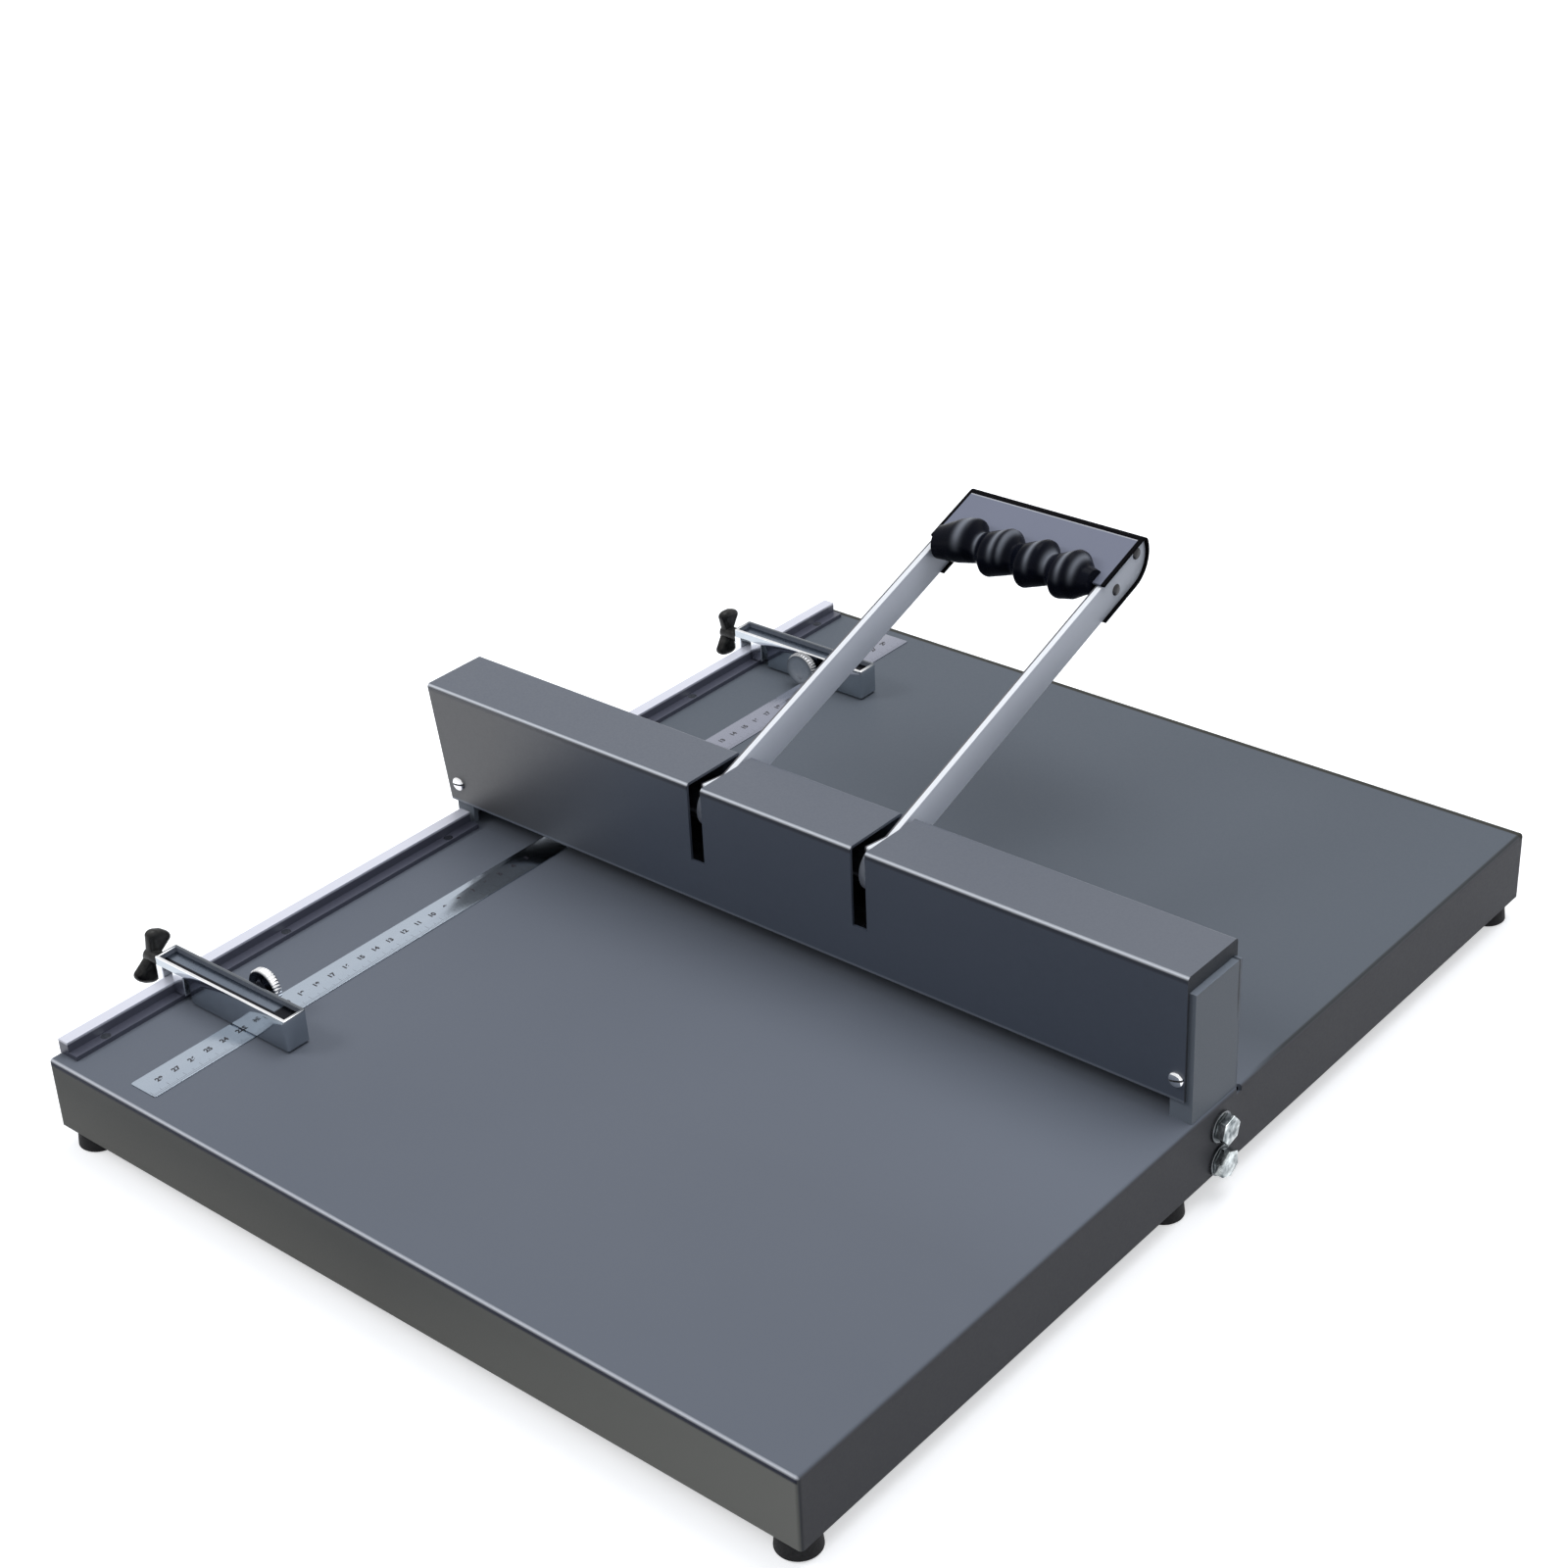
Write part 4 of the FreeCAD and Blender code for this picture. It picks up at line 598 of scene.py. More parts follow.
# ---- Rules ---------------------------------------------------------------------------------------
# Thin rolled steel, let on the table with its zero at the crease. Millimetre marks run along the inner
# edge and the centimetres are numbered.
RULE_CORNER = 0.0012
RULE_BEVEL = 0.0001
CENTIMETRE = 0.01
MARK_HALF = 0.00009
MARKS = ((0.001, 0.0026), (0.005, 0.0040), (0.010, 0.0052))
NUMBERS = range(3, 29)
NUMBER_HEIGHT = 0.0029
NUMBER_WEIGHT = 0.00020
NUMBER_SHIFT = 0.001
FIGURE_SHARE = 0.7
PRINT_LIFT = 0.00004
rule_low, rule_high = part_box("front_rule")


def rounded_outline(corners, steps=6):
    """A closed outline of (a, b, radius) corners, each rounded by its radius. The arc's middle lies on the
    corner's bisector, radius / sin(half the corner's angle) from the corner."""
    line = []
    places = np.array([corner[:2] for corner in corners], float)
    for this, (*_, radius) in enumerate(corners):
        corner = places[this]
        before = places[this - 1] - corner
        after = places[(this + 1) % len(corners)] - corner
        before /= np.linalg.norm(before)
        after /= np.linalg.norm(after)
        if radius == 0:
            line.append(corner[None])
            continue
        half = math.acos(np.clip(before @ after, -1, 1)) / 2
        bisector = (before + after) / np.linalg.norm(before + after)
        middle = corner + bisector * radius / math.sin(half)
        first = corner + before * radius / math.tan(half) - middle
        last = corner + after * radius / math.tan(half) - middle
        start = math.atan2(first[1], first[0])
        sweep = (math.atan2(last[1], last[0]) - start + math.pi) % (2 * math.pi) - math.pi
        angle = start + sweep * np.linspace(0, 1, steps + 1)
        line.append(middle + radius * np.stack([np.cos(angle), np.sin(angle)], 1))
    return np.vstack(line)


def block_outline(low, high, corner, steps=6):
    """A rectangle from its low to its high corner, with all four corners rounded."""
    return rounded_outline([(low[0], low[1], corner), (high[0], low[1], corner),
                            (high[0], high[1], corner), (low[0], high[1], corner)], steps)


def ruled_steel():
    """Bright steel with a printed mark at each millimetre, longer at each fifth and tenth. A mark is where
    the distance to the nearest multiple of its pitch is under half its width. The rear rule is greyer, in
    painted shade."""
    rear_rule_shade = [([("Y", 0.0, 0.02)], (0.30, 0.315, 0.385))]
    material = finish_of("ruled_steel", (0.40, 0.46, 0.54), (0.45, 0.51, 0.59), metal=1.0, rough=0.2,
                         grain=(0.0005, 0.000004), cloud=40, stretch=(1, 0.03, 1), bands=rear_rule_shade)
    tree = material.node_tree
    shader = next(node for node in tree.nodes if node.type == "BSDF_PRINCIPLED")
    where = next(node for node in tree.nodes if node.type == "TEX_COORD").outputs["Object"]
    plain = shader.inputs["Base Color"].links[0].from_socket
    from_edge = combined(tree, "SUBTRACT", rule_high[0], along(tree, where, "X"))
    marks = None
    for pitch, length in MARKS:
        offset = combined(tree, "PINGPONG", along(tree, where, "Y"), pitch / 2)
        on_line = combined(tree, "LESS_THAN", offset, MARK_HALF)
        short = combined(tree, "LESS_THAN", from_edge, length)
        mark = combined(tree, "MULTIPLY", on_line, short)
        marks = mark if marks is None else combined(tree, "MAXIMUM", marks, mark)
    link(tree, blend_colours(tree, marks, plain, (0.14, 0.15, 0.17)), shader.inputs["Base Color"])
    return material


rule_steel = ruled_steel()
print_ink = finish_of("print_ink", (0.02, 0.02, 0.03), (0.03, 0.03, 0.04), metal=0.0, rough=0.5,
                      grain=(0.0005, 0.000004))


def numerals(way):
    """The centimetre numbers as flat figures, each turned a quarter round to read across the rule and put
    number * way centimetres from the crease."""
    skins = []
    for number in NUMBERS:
        script = bpy.data.curves.new("figure", "FONT")
        script.body = str(number)
        script.size = NUMBER_HEIGHT / FIGURE_SHARE
        script.offset = NUMBER_WEIGHT
        script.align_x = "CENTER"
        script.align_y = "CENTER"
        holder = bpy.data.objects.new("figure", script)
        bpy.context.scene.collection.objects.link(holder)
        flat = bpy.data.meshes.new_from_object(holder.evaluated_get(bpy.context.evaluated_depsgraph_get()))
        corners = np.empty(len(flat.vertices) * 3)
        flat.vertices.foreach_get("co", corners)
        middle = (rule_low[0] + rule_high[0]) / 2
        place = (middle - NUMBER_SHIFT, way * number * CENTIMETRE, rule_high[2] + PRINT_LIFT)
        across, up, flat_level = corners.reshape(-1, 3).T
        skins.append((np.column_stack([-up, across, flat_level]) + np.array(place),
                      [list(face.vertices) for face in flat.polygons]))
        bpy.data.objects.remove(holder)
        bpy.data.curves.remove(script)
        bpy.data.meshes.remove(flat)
    return skins


for place, way in (("front", -1), ("rear", 1)):
    low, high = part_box(f"{place}_rule")
    strip = slab(block_outline(low, high, RULE_CORNER), low[2], high[2], RULE_BEVEL, "Z")
    piece(f"{place}_steel_rule", [strip], rule_steel, "frame", [f"{place}_rule"])
    piece(f"{place}_rule_figures", numerals(way), print_ink, "frame")

# ---- Handle arms ---------------------------------------------------------------------------------
# Two flat bars sheared from steel plate, each with a welded hub that a roll pin fixes to the shaft. They
# are coated light grey. The sheared edge is bare and bright, made brighter still by a painted highlight,
# with painted shade on its left part.
LEAN = math.radians(19.7)
SHAFT_LEVEL = 0.109
ARM_GAUGE = 0.004
PLATE_BEVEL = 0.0003
EDGE_SHADE_LINE = -0.0009
ARM_END = 0.2393
ARM_ABOVE = 0.0145
ARM_BELOW = 0.0045
HUB_RADIUS = 0.012
HUB_WIDTH = 0.014
HUB_CHAMFER = 0.0004
# The finish of each strip across a plate's edge, from left to right: 2 for painted shade, 1 for the bare
# edge made brighter by a painted highlight, and 0 for the coat.
EDGE_ZONES = (2, 2, 2, 2, 1, 1, 1, 0)


def leaned(skin):
    """Carries a skin from the handle's own frame, with the arms level along Y, to where the handle rests:
    it is turned by the lean about the shaft's line and raised to the shaft's level."""
    points, faces = skin
    y = points[:, 1] * math.cos(LEAN) - points[:, 2] * math.sin(LEAN)
    z = points[:, 1] * math.sin(LEAN) + points[:, 2] * math.cos(LEAN) + SHAFT_LEVEL
    return np.column_stack([points[:, 0], y, z]), faces


# Painted light makes each arm paler toward the shaft.
arm_painted_light = [([("Y", 0.14, 0.05)], (0.82, 0.86, 0.95))]
arm_coat = finish_of("arm_coat", (0.73, 0.77, 0.86), (0.77, 0.81, 0.90), metal=0.10, rough=0.5,
                     grain=(0.0006, 0.000001), cloud=8, specular=0.3, bands=arm_painted_light)
arm_edge = finish_of("arm_bare_edge_highlight", (0.86, 0.88, 0.92), (0.90, 0.92, 0.96), metal=0.0, rough=0.35,
                     grain=(0.0006, 0.000001), cloud=8)
arm_edge_shade = finish_of("arm_edge_shade", (0.10, 0.10, 0.11), (0.13, 0.13, 0.14), metal=0.0, rough=0.5,
                         grain=(0.0006, 0.000001), cloud=8)
arm_outline = rounded_outline([
    (-0.012, 0.0, 0.003), (0.0, -ARM_BELOW, 0.003), (ARM_END, -ARM_BELOW, 0.0155),
    (ARM_END, ARM_ABOVE, 0.0022), (0.009, ARM_ABOVE, 0.002), (-0.0055, 0.0218, 0.001)])
for side in ("left", "right"):
    low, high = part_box(f"{side}_arm")
    middle = (low[0] + high[0]) / 2
    rings = slab_rings(arm_outline, middle - ARM_GAUGE / 2, middle + ARM_GAUGE / 2, PLATE_BEVEL)
    edge_shade_line = np.column_stack([arm_outline, np.full(len(arm_outline), middle + EDGE_SHADE_LINE)])
    plate = loft(np.concatenate([rings[:4], edge_shade_line[None], rings[4:]])[:, :, ORDER["X"]])
    hub_left, hub_right = middle - HUB_WIDTH / 2, middle + HUB_WIDTH / 2
    hub = turned([
        (hub_left, HUB_RADIUS - HUB_CHAMFER), (hub_left + HUB_CHAMFER, HUB_RADIUS),
        (hub_right - HUB_CHAMFER, HUB_RADIUS), (hub_right, HUB_RADIUS - HUB_CHAMFER)], "X", (0, 0, 0))
    zones = np.concatenate([np.repeat(EDGE_ZONES, len(arm_outline)), np.zeros(2 + len(hub[1]))])
    piece(f"{side}_lever_arm", [leaned(plate), leaned(hub)], [arm_coat, arm_edge, arm_edge_shade], "handle",
          [f"{side}_arm"], zones=zones.astype(np.int32))

# ---- Handle head ---------------------------------------------------------------------------------
# One sheet wrapped round both arms' ends and riveted through cheeks inside them, cut away underneath for
# the fingers. It is coated light grey, with a black bead along its sides, black round the upper bend, and a
# painted highlight line just in front of that bend.
HEAD_LENGTH = 0.241
HEAD_GAUGE = 0.0015
HEAD_TOP_START = 0.199
HEAD_OPENING_BACK = 0.214
HEAD_BOTTOM_START = 0.1935
HEAD_CORNER = 0.004
HEAD_BACK_RADIUS = 0.0175
HEAD_STRIP = 0.0069
BEAD = 0.0022
BEND_BLACK = 0.0056
LINE_WIDTH = 0.0007
HEAD_EDGE = 0.0002
SHEET_CORNER = 0.0005
OUTLINE_SLACK = 0.0001
CHEEK_START = 0.206
CHEEK_LEVEL = -0.0005
head_low, head_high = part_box("handle_head")
head_middle = (head_low[0] + head_high[0]) / 2
head_coat = finish_of("head_coat", (0.176, 0.190, 0.254), (0.188, 0.204, 0.270), metal=0.0, rough=0.40,
                      grain=POWDER_GRAIN, cloud=8, specular=0.2)
bead_black = finish_of("bead_black", (0.003, 0.003, 0.004), (0.005, 0.005, 0.006), metal=0.0, rough=0.7,
                       grain=POWDER_GRAIN, cloud=8, specular=0.02)
# The pale line in front of the bend is a painted highlight.
bend_highlight = finish_of("bend_highlight", (0.40, 0.41, 0.45), (0.44, 0.45, 0.50), metal=0.0, rough=0.5,
                      grain=POWDER_GRAIN, cloud=8, specular=0.2)


def beaded(outline, low, high, bevel):
    """A slab along X with extra rings where the bead ends, and the zone of each face: 0 for the coat, 1 for
    the black bead along both sides and the black round the bend, 2 for the painted highlight line in front
    of the bend. The black at the bend and the line are where both ends of a face lie within their distance
    of the upper bend's corner."""
    rings = slab_rings(outline, low, high, bevel)
    extra = [np.column_stack([outline, np.full(len(outline), place)])
             for place in (low + BEAD, high - BEAD)]
    rings = np.concatenate([rings[:4], extra, rings[4:]])
    from_bend = np.hypot(outline[:, 0] - HEAD_LENGTH, outline[:, 1] - ARM_ABOVE - HEAD_GAUGE)
    at_bend = from_bend < BEND_BLACK + OUTLINE_SLACK
    at_line = from_bend < BEND_BLACK + LINE_WIDTH + OUTLINE_SLACK
    between_beads = np.where(at_line & np.roll(at_line, -1), 2, 0)
    between_beads[at_bend & np.roll(at_bend, -1)] = 1
    between_beads[outline[:, 1] < 0] = 0
    zones = np.ones((len(rings) - 1, len(outline)))
    zones[4] = between_beads
    return loft(rings[:, :, ORDER["X"]]), np.append(zones.ravel(), [1, 1])


# The bent sheet seen from the side: along underneath, round the arms' ends and back over the top, then the
# same way back one gauge further in, with each bend's radius one gauge less.
head_top, head_below = ARM_ABOVE + HEAD_GAUGE, -ARM_BELOW - HEAD_GAUGE
wrap_outline = rounded_outline([
    (HEAD_OPENING_BACK, head_below, SHEET_CORNER), (HEAD_LENGTH, head_below, HEAD_BACK_RADIUS),
    (HEAD_LENGTH, head_top, HEAD_CORNER), (HEAD_LENGTH - BEND_BLACK, head_top, 0),
    (HEAD_LENGTH - BEND_BLACK - LINE_WIDTH, head_top, 0), (HEAD_TOP_START, head_top, SHEET_CORNER),
    (HEAD_TOP_START, ARM_ABOVE, SHEET_CORNER),
    (HEAD_LENGTH - HEAD_GAUGE, ARM_ABOVE, HEAD_CORNER - HEAD_GAUGE),
    (HEAD_LENGTH - HEAD_GAUGE, -ARM_BELOW, HEAD_BACK_RADIUS - HEAD_GAUGE),
    (HEAD_OPENING_BACK, -ARM_BELOW, SHEET_CORNER)], 10)
wrap, wrap_zones = beaded(wrap_outline, head_low[0], head_high[0], HEAD_EDGE)
head_parts, head_zones = [leaned(wrap)], [wrap_zones]
# Underneath, the sheet reaches further forward in a strip along either side of the opening.
strip_outline = block_outline((HEAD_BOTTOM_START, head_below), (HEAD_OPENING_BACK, -ARM_BELOW),
                              SHEET_CORNER, steps=3)
for low, high in ((head_low[0], head_low[0] + HEAD_STRIP), (head_high[0] - HEAD_STRIP, head_high[0])):
    strip = slab(strip_outline, low, high, HEAD_EDGE)
    head_parts.append(leaned(strip))
    head_zones.append(np.ones(len(strip[1])))
cheek_outline = rounded_outline([
    (CHEEK_START, CHEEK_LEVEL, 0.001), (0.2340, CHEEK_LEVEL, 0.001), (0.2371, 0.0035, 0.001),
    (0.2391, 0.0090, 0.001), (HEAD_LENGTH - HEAD_GAUGE, ARM_ABOVE, 0.0025),
    (CHEEK_START, ARM_ABOVE, 0.001)])
for side, way in (("left", 1), ("right", -1)):
    arm_low, arm_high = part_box(f"{side}_arm")
    face = (arm_low[0] + arm_high[0]) / 2 + way * ARM_GAUGE / 2
    cheek = slab(cheek_outline, *sorted((face, face + way * HEAD_GAUGE)), PLATE_BEVEL)
    head_parts.append(leaned(cheek))
    head_zones.append(np.zeros(len(cheek[1])))
piece("head_wrap", head_parts, [head_coat, bead_black, bend_highlight], "handle", ["handle_head"],
      zones=np.concatenate(head_zones).astype(np.int32))

# ---- Head rivets ---------------------------------------------------------------------------------
# Blackened steel rivets, two through each arm and the cheek inside it, closed to low domed heads on the
# arm's outer face. A dome's section is a quarter of an ellipse.
RIVET_PLACES = ((0.209, 0.004), (0.231, 0.0105))
RIVET_RADIUS = 0.0032
RIVET_HEIGHT = 0.0012
rivet_low, rivet_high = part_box("head_rivets")
rivet_steel = finish_of("rivet_steel", (0.03, 0.03, 0.032), (0.05, 0.05, 0.052), metal=0.8, rough=0.35,
                        grain=(0.0006, 0.00001))
rise = np.linspace(0, math.pi / 2, 7)[:-1]
rivet_parts = []
for face, outward in ((rivet_low[0], -1), (rivet_high[0], 1)):
    base = face - outward * RIVET_HEIGHT
    dome = np.column_stack([base + outward * RIVET_HEIGHT * np.sin(rise), RIVET_RADIUS * np.cos(rise)])
    rivet_parts += [leaned(turned(dome, "X", (0, out, above), 24)) for out, above in RIVET_PLACES]
piece("rivet_domes", rivet_parts, rivet_steel, "handle", ["head_rivets"])

# ---- Finger grip ---------------------------------------------------------------------------------
# A bar of black moulded plastic, pushed on the head's front edge. Four steps along it swell slowly on the
# palm's side and drop off steeply, and go the other way on the fingers' side.
GRIP_OUT = 0.201
GRIP_ABOVE = 0.01525
GRIP_LEAN = math.radians(40)
GRIP_SIDES = 0.0012
GRIP_END = 48.7
GRIP_STATIONS = 200
# Half thickness on the palm's side and on the fingers' side, each as (place along the grip, millimetres).
PALM_SIDE = ((-GRIP_END, 6), (-43, 9.5), (-38, 12.3), (-34, 13.9), (-29.5, 14.5), (-28, 14.2), (-24.4, 8.2),
             (-23, 8.3), (-7, 14.3), (-5, 14), (0.2, 8.1), (1.6, 8.2), (16, 14.2), (18, 13.9), (22.3, 8),
             (23.8, 8.1), (36.5, 13.8), (38.4, 13.4), (44.5, 7), (GRIP_END, 6))
FINGER_SIDE = ((-GRIP_END, 12.5), (-36, 11.5), (-23, 8.6), (-21.6, 8.9), (-16.5, 13.8), (-15, 14),
               (0.5, 8.8), (2, 9), (6.8, 13.9), (8.2, 14.1), (22.5, 9), (24, 9.2), (28.8, 14.1),
               (30.4, 14.2), (38, 12.5), (44, 9), (GRIP_END, 7))
# Where painted highlight bars lie across the grip, as (place along the grip, half width) in millimetres,
# and the angles between which they are painted, in degrees up from the side that points away from the
# shaft.
HIGHLIGHT_BARS = ((-32.4, 2.4), (-22.1, 1.3), (-9.7, 1.5), (-4.4, 1.2), (13.3, 1.5), (22.1, 1.3), (33.6, 1.5),
              (40.8, 1.3))
SHINE_ANGLES = (20, 45, 125, 165)
grip_black = finish_of("grip_plastic", (0.0035, 0.0045, 0.009), (0.006, 0.007, 0.0135), metal=0.0,
                       rough=0.26, grain=(0.0007, 0.000004), cloud=60, specular=0.04,
                       edge_colour=(0.20, 0.215, 0.25))
along_grip = np.linspace(-GRIP_END, GRIP_END, GRIP_STATIONS)
palm, finger = (np.interp(along_grip, *np.array(side, float).T) / 1000 for side in (PALM_SIDE, FINGER_SIDE))
grip_turn = np.linspace(0, 2 * math.pi, 64, endpoint=False)
from_palm = grip_turn - GRIP_LEAN
# The radius runs from palm to finger as a cosine round the grip, with a little more at the sides.
grip_radius = ((palm + finger)[:, None] / 2 + (palm - finger)[:, None] / 2 * np.cos(from_palm)[None]
               + GRIP_SIDES * np.sin(from_palm)[None] ** 2)
grip_rings = np.stack([
    np.broadcast_to(head_middle + along_grip[:, None] / 1000, grip_radius.shape),
    GRIP_OUT + grip_radius * np.cos(grip_turn), GRIP_ABOVE + grip_radius * np.sin(grip_turn)], -1)
bar_highlight = sum(np.exp(-((along_grip - at) / width) ** 2) for at, width in HIGHLIGHT_BARS)
facing_up = np.interp(np.degrees(grip_turn), SHINE_ANGLES, (0, 1, 1, 0))
grip_sheen = np.clip(bar_highlight, 0, 1)[:, None] * facing_up[None]
piece("grip_bar", [leaned(loft(grip_rings))], grip_black, "handle", ["finger_grip"],
      crease=60, edge=[grip_sheen.ravel()])

# ---- Stop bars -----------------------------------------------------------------------------------
# Each stop is a chromed steel bar with a shallow tray milled in its top and a deeper foot that the paper
# meets. It reaches in over the table from the clamp on the rail. Its rim is a painted highlight with
# painted shade on the far side, and painted shade edges its tray's floor.
BAR_CORNER = 0.0012
TRAY_RIM = 0.0017
TRAY_DEPTH = 0.003
BAR_EDGE = 0.0005
OUTER_ROUND = BAR_EDGE * 0.3
INNER_ROUND = BAR_EDGE * 0.6
LEAST_CORNER = 0.0003
LEDGE = 0.0145
FOOT_START = 0.025
TRAY_SHADE_FRONT = 0.0040
TRAY_SHADE_END = 0.012
TRAY_SHADE_SHARES = (1, 1.1)
CORNER_POINTS = 28
chrome = finish_of("bar_chrome", (0.46, 0.50, 0.54), (0.54, 0.58, 0.62), metal=1.0, rough=0.10,
                   grain=(0.0009, 0.000002), cloud=60)
tray_side = finish_of("tray_side", (0.18, 0.20, 0.24), (0.20, 0.22, 0.26), metal=0.0, rough=0.5,
                      grain=(0.0009, 0.00001), cloud=60, specular=0.2)
# The tray floor's near black edge colour is painted shade.
tray_steel = finish_of("tray_steel", (0.14, 0.17, 0.22), (0.19, 0.22, 0.27), metal=1.0, rough=0.3,
                       grain=(0.0009, 0.000004), cloud=25, edge_colour=(0.006, 0.007, 0.012))
# The rim's bright colour is a painted highlight, and its edge colour painted shade on the far side.
rim_metal = finish_of("bar_rim", (0.80, 0.81, 0.83), (0.90, 0.90, 0.91), metal=1.0, rough=0.12,
                      grain=(0.0008, 0.000005), cloud=300, edge_colour=(0.13, 0.145, 0.165))


def stacked(rings):
    """A closed skin through flat outlines, each (low corner, high corner, corner radius, level)."""
    return loft(np.array([np.column_stack([block_outline(low, high, corner), np.full(CORNER_POINTS, level)])
                          for low, high, corner, level in rings]))


for place in ("front", "rear"):
    low, high = np.array(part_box(f"{place}_stop_bar"))
    ledge, tray_level = TABLE_TOP + LEDGE, high[2] - TRAY_DEPTH
    # Walls, rim, tray wall and tray floor, each level with its inset. The last two rings run inside the
    # painted shade.
    levels = [
        (0, ledge), (0, high[2] - BAR_EDGE), (OUTER_ROUND, high[2] - OUTER_ROUND), (BAR_EDGE, high[2]),
        (TRAY_RIM - INNER_ROUND, high[2]), (TRAY_RIM, high[2] - INNER_ROUND), (TRAY_RIM, tray_level)]
    rings = [(low[:2] + inward, high[:2] - inward, max(BAR_CORNER - inward, LEAST_CORNER), level)
             for inward, level in levels]
    tray_low, tray_high = low[:2] + TRAY_RIM, high[:2] - TRAY_RIM
    rings += [(tray_low + (0, TRAY_SHADE_FRONT * share), tray_high - (TRAY_SHADE_END * share, 0), LEAST_CORNER,
               tray_level) for share in TRAY_SHADE_SHARES]
    bar = stacked(rings)
    foot_low = low[:2] + (FOOT_START, 0)
    foot = stacked([(foot_low + inward, high[:2] - inward, BAR_CORNER, level)
                    for inward, level in ((BAR_EDGE, low[2]), (0, low[2] + BAR_EDGE), (0, ledge))])
    # The edge colour is painted shade: on the rim it darkens the bar's far side, and on the tray floor it
    # lies along the near side and round the end.
    outline = bar[0][:CORNER_POINTS]
    far_side = outline[:, 1] > (low[1] + high[1]) / 2
    hooked = ~far_side | (outline[:, 0] > high[0] - BAR_CORNER)
    shade = np.concatenate([
        np.tile(far_side, 6), np.tile(hooked, 2), np.zeros(CORNER_POINTS + len(foot[0]))])
    # The walls are chrome, then come four strips of rim, brightened as a painted highlight, the tray's wall
    # and its floor in two strips.
    zones = np.concatenate([
        np.repeat([0, 1, 1, 1, 1, 2, 3, 3], CORNER_POINTS), [0, 3], np.zeros(len(foot[1]))])
    piece(f"{place}_bar", [bar, foot], [chrome, rim_metal, tray_side, tray_steel], f"{place}_stop",
          [f"{place}_stop_bar"], edge=[shade], zones=zones.astype(np.int32))

# ---- Clamp jaws ----------------------------------------------------------------------------------
# Blocks sawn from bright aluminium bar, one on either side of the rail's upstand. They carry the stop bar,
# and the wing knob's stud draws them together to clamp it.
JAW_CORNER = 0.0006
JAW_BEVEL = 0.0004
jaw_metal = finish_of("jaw_aluminium", (0.74, 0.76, 0.79), (0.82, 0.84, 0.86), metal=1.0, rough=0.22,
                      grain=(0.0004, 0.00001), cloud=30, stretch=(1, 0.03, 1))
for place in ("front", "rear"):
    for which in ("outer", "inner"):
        low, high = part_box(f"{place}_{which}_jaw")
        jaw = slab(block_outline(low, high, JAW_CORNER), low[2], high[2], JAW_BEVEL, "Z")
        piece(f"{place}_{which}_clamp", [jaw], jaw_metal, f"{place}_stop",
              [f"{place}_{which}_jaw"])

# ---- Wing knobs ----------------------------------------------------------------------------------
# Wings of black moulded plastic with two rounded lobes and a round hub, pressed on the steel stud that
# clamps the jaws. A bright ferrule ends the hub.
WING_REACH = 0.0145
WING_TIP_HALF = 0.0075
WING_ROOT_HALF = 0.0026
WING_GAUGE = 0.0065
WING_WIDEST = 0.7
WING_CLOSES = 0.3
WING_END_POWER = 2.6
WING_END_LEFT = 0.004
WING_THINNEST = 0.3
WING_SECTION_POWER = 2 / 3
HUB_OF_KNOB = 0.0042
HUB_STEPS = ((0, 0.0015), (0.0005, 0.0004), (0.0012, 0))
FERRULE = 0.002
FERRULE_EDGE = 0.0004
WING_TURN = {"front": 30, "rear": 10}
knob_black = finish_of("knob_plastic", (0.002, 0.002, 0.003), (0.050, 0.050, 0.048), metal=0.0, rough=0.24,
                       grain=(0.0007, 0.000008), cloud=170, specular=0.18)


def wing_skin(outer_face, centre, degrees):
    """The two lobes as one lofted form. Its half width grows in a straight line from the root to where it
    is widest, then closes as the square root of 1 - (share of the end) ** 2.6. A section across it is a
    rounded rectangle: the cosine and sine of the angle, each to the power of two thirds."""
    out = np.linspace(-1, 1, 41)
    reach = np.abs(out)
    half = WING_ROOT_HALF + (WING_TIP_HALF - WING_ROOT_HALF) * np.minimum(reach / WING_WIDEST, 1)
    share = np.clip(reach - WING_WIDEST, 0, None) / WING_CLOSES
    closing = np.sqrt(np.clip(1 - share ** WING_END_POWER, WING_END_LEFT, 1))
    angle = np.linspace(0, 2 * math.pi, 32, endpoint=False)
    side = np.sign(np.cos(angle)) * np.abs(np.cos(angle)) ** WING_SECTION_POWER
    depth = np.sign(np.sin(angle)) * np.abs(np.sin(angle)) ** WING_SECTION_POWER
    across = (half * closing)[:, None] * side[None]
    thick = (WING_GAUGE / 2 * np.maximum(closing, WING_THINNEST))[:, None] * depth[None]
    up = np.broadcast_to(out[:, None] * WING_REACH, across.shape)
    turn = -math.radians(degrees)
    y = across * math.cos(turn) - up * math.sin(turn) + centre[1]
    z = across * math.sin(turn) + up * math.cos(turn) + centre[2]
    return loft(np.stack([outer_face + WING_GAUGE / 2 + thick, y, z], -1))


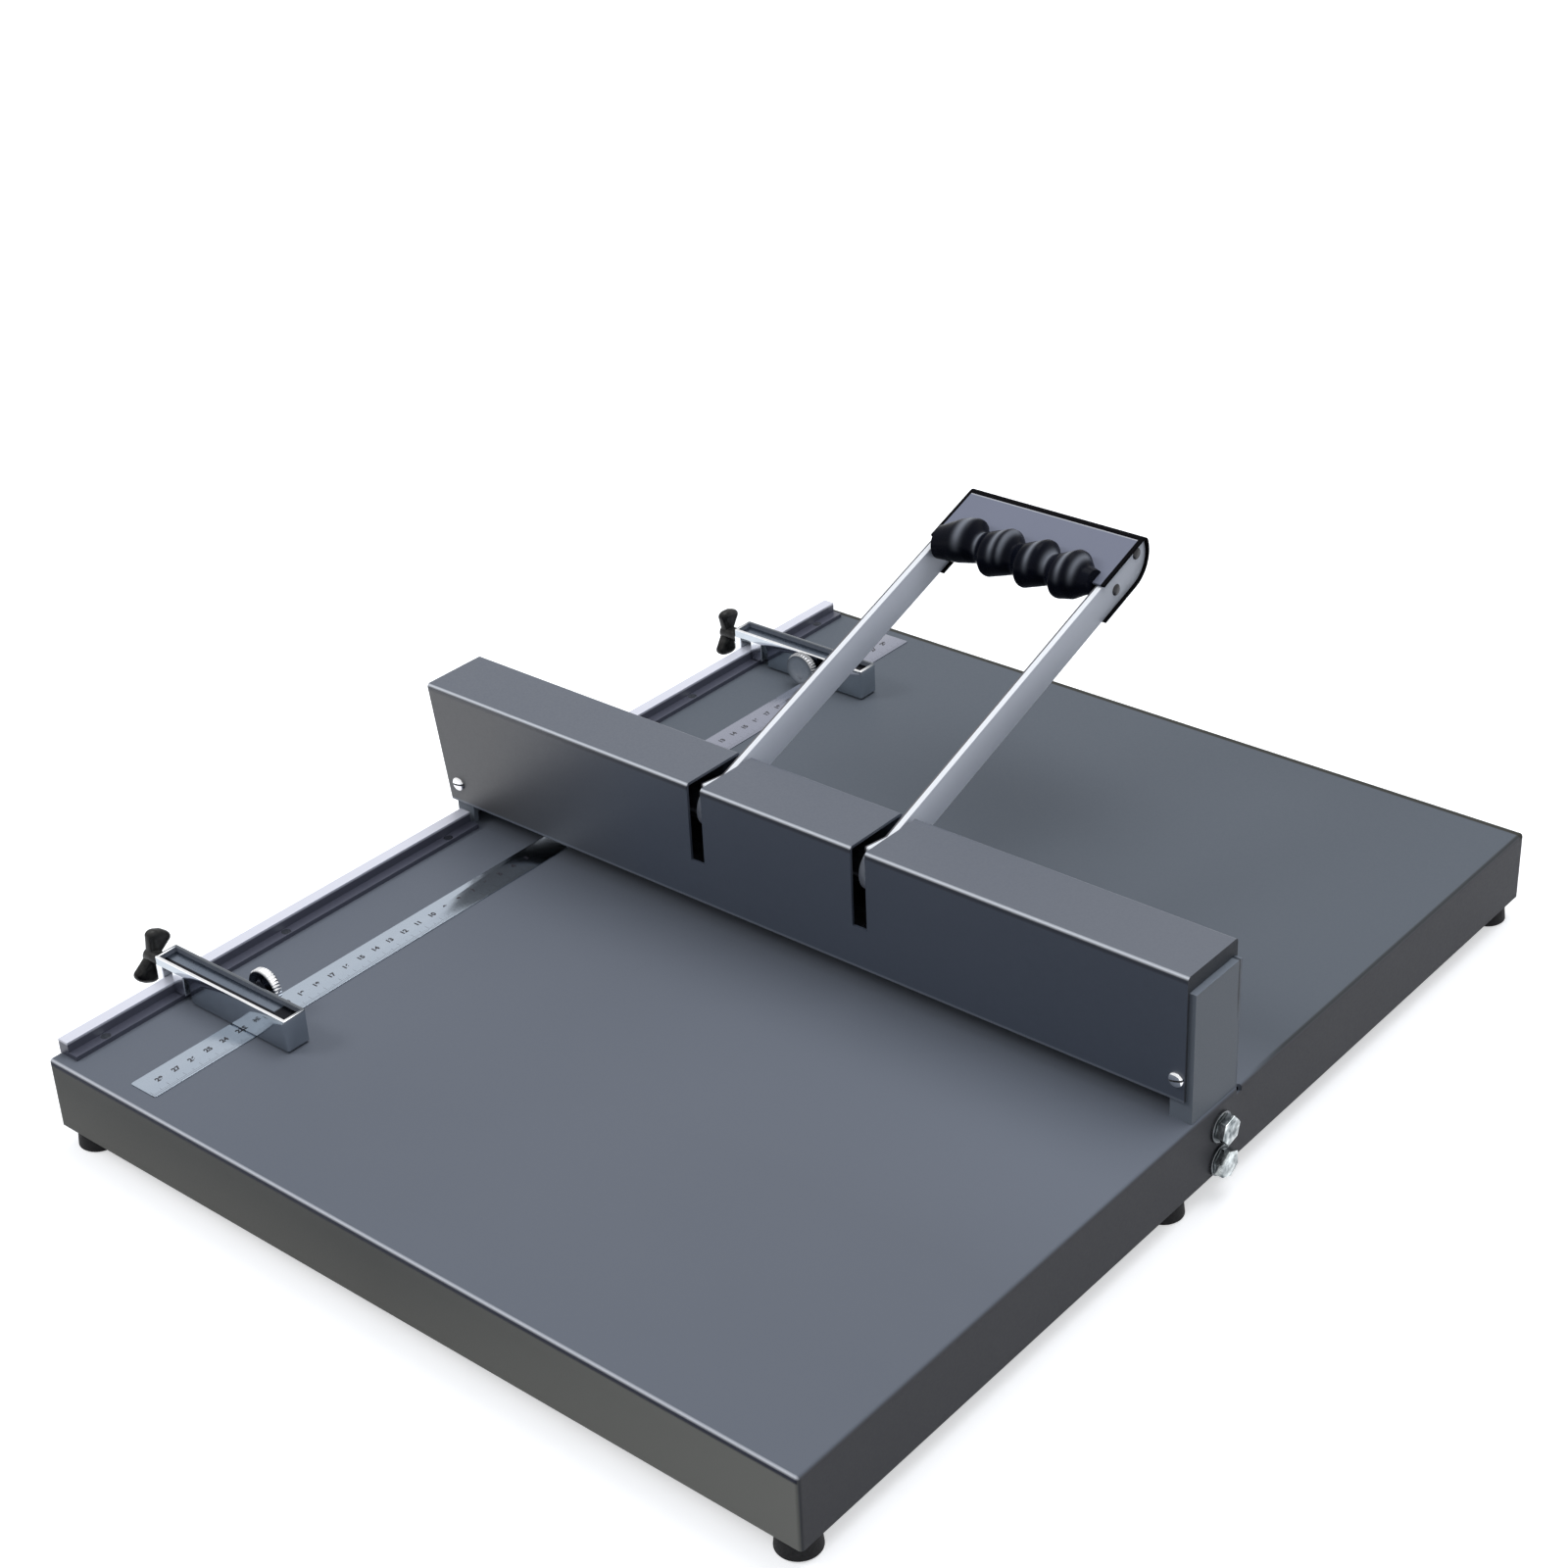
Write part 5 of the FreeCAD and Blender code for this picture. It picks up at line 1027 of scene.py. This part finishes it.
for place in ("front", "rear"):
    low, high = np.array(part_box(f"{place}_wing_knob"))
    stud_low, stud_high = np.array(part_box(f"{place}_wing_stud"))
    centre = (stud_low + stud_high) / 2
    axis = (0, centre[1], centre[2])
    hub_steps = [(low[0] + along_hub, HUB_OF_KNOB - inside) for along_hub, inside in HUB_STEPS]
    hub = turned([*hub_steps, (high[0] - FERRULE, HUB_OF_KNOB)], "X", axis)
    ferrule = turned([
        (high[0] - FERRULE, HUB_OF_KNOB - FERRULE_EDGE),
        (high[0] - FERRULE_EDGE, HUB_OF_KNOB - FERRULE_EDGE),
        (high[0], HUB_OF_KNOB - 2 * FERRULE_EDGE)], "X", axis)
    piece(f"{place}_knob_ferrule", [ferrule], zinc, f"{place}_wing")
    piece(f"{place}_knob_wings", [wing_skin(low[0], centre, WING_TURN[place]), hub], knob_black,
          f"{place}_wing", [f"{place}_wing_knob"])

# ---- Thumb screws --------------------------------------------------------------------------------
# Turned steel, nickel plated, with a straight knurl round the disc that the finger turns. The shank is
# screwed into the side of the stop bar that faces the bridge.
SHANK_RADIUS = 0.0029
SHANK_IN_BAR = 0.004
NECK_GAP = 0.0003
NECK_RADIUS = 0.0045
COLLAR_BEFORE = 0.0004
COLLAR_ABOVE = 0.0008
DISC_WIDTH = 0.005
DISC_EDGE = 0.0008
DIMPLE_DEPTH = 0.0005
DIMPLE_SHARES = (0.6, 0.5)
KNURL_TEETH = 40
STEPS_A_TOOTH = 4
KNURL_DEPTH = 0.03
# The share of the dark edge colour, painted shade, at each point of the profile, from the shank to the
# disc's face: on the neck, the collar and the disc's back, and on the rear screw much of the knurled rim
# too.
THUMB_SHADES = {
    "front": (0, 0, 1, 1, 1, 1, 0, 0, 0, 0, 0),
    "rear": (0, 0, 1, 1, 1, 1, 0.7, 0.7, 0.5, 0, 0)}
screw_metal = finish_of("turned_nickel", (0.80, 0.81, 0.83), (0.90, 0.90, 0.91), metal=1.0, rough=0.14,
                        grain=(0.0008, 0.000005), cloud=300, edge_colour=(0.05, 0.055, 0.07))
for place, toward in (("front", 1), ("rear", -1)):
    low, high = np.array(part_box(f"{place}_thumb_screw"))
    disc_radius = (high[0] - low[0]) / 2
    bar_low, bar_high = np.array(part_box(f"{place}_stop_bar"))
    bar_face, tip = (bar_high[1], high[1]) if toward > 0 else (bar_low[1], low[1])
    disc_start = tip - toward * DISC_WIDTH
    rim, rim_edge = disc_radius * DIMPLE_SHARES[0], disc_radius * DIMPLE_SHARES[1]
    profile = [
        (bar_face - toward * SHANK_IN_BAR, SHANK_RADIUS), (bar_face + toward * NECK_GAP, SHANK_RADIUS),
        (bar_face + toward * NECK_GAP, NECK_RADIUS), (disc_start - toward * COLLAR_BEFORE, NECK_RADIUS),
        (disc_start, NECK_RADIUS + COLLAR_ABOVE), (disc_start, disc_radius - DISC_EDGE),
        (disc_start + toward * DISC_EDGE, disc_radius), (tip - toward * DISC_EDGE, disc_radius),
        (tip, disc_radius - DISC_EDGE), (tip, rim), (tip - toward * DIMPLE_DEPTH, rim_edge)]
    steps = KNURL_TEETH * STEPS_A_TOOTH
    knurl = np.ones((len(profile), steps))
    # Round the disc's rim the radius is less by the knurl's depth times (1 + cosine) / 2, once a tooth.
    knurl[6:8] = 1 - KNURL_DEPTH * (0.5 + 0.5 * np.cos(np.arange(steps) * 2 * math.pi / STEPS_A_TOOTH))
    centre = ((low[0] + high[0]) / 2, 0, (low[2] + high[2]) / 2)
    shade = np.repeat(THUMB_SHADES[place], steps)
    piece(f"{place}_knurled_screw", [turned(profile, "Y", centre, steps, knurl)], screw_metal,
          f"{place}_thumb", [f"{place}_thumb_screw"], crease=40, edge=[shade])

# ---- Feet ----------------------------------------------------------------------------------------
# Six feet of soft black rubber, moulded with a slight taper. A screw goes up through each into the table's
# return flange, with a nut on top.
foot_rubber = finish_of("foot_rubber", (0.012, 0.012, 0.013), (0.022, 0.022, 0.024), metal=0.0, rough=0.75,
                        grain=(0.0006, 0.00004), cloud=60, specular=0.3)
dress([name for name in nodes if name.endswith("_foot")], foot_rubber)
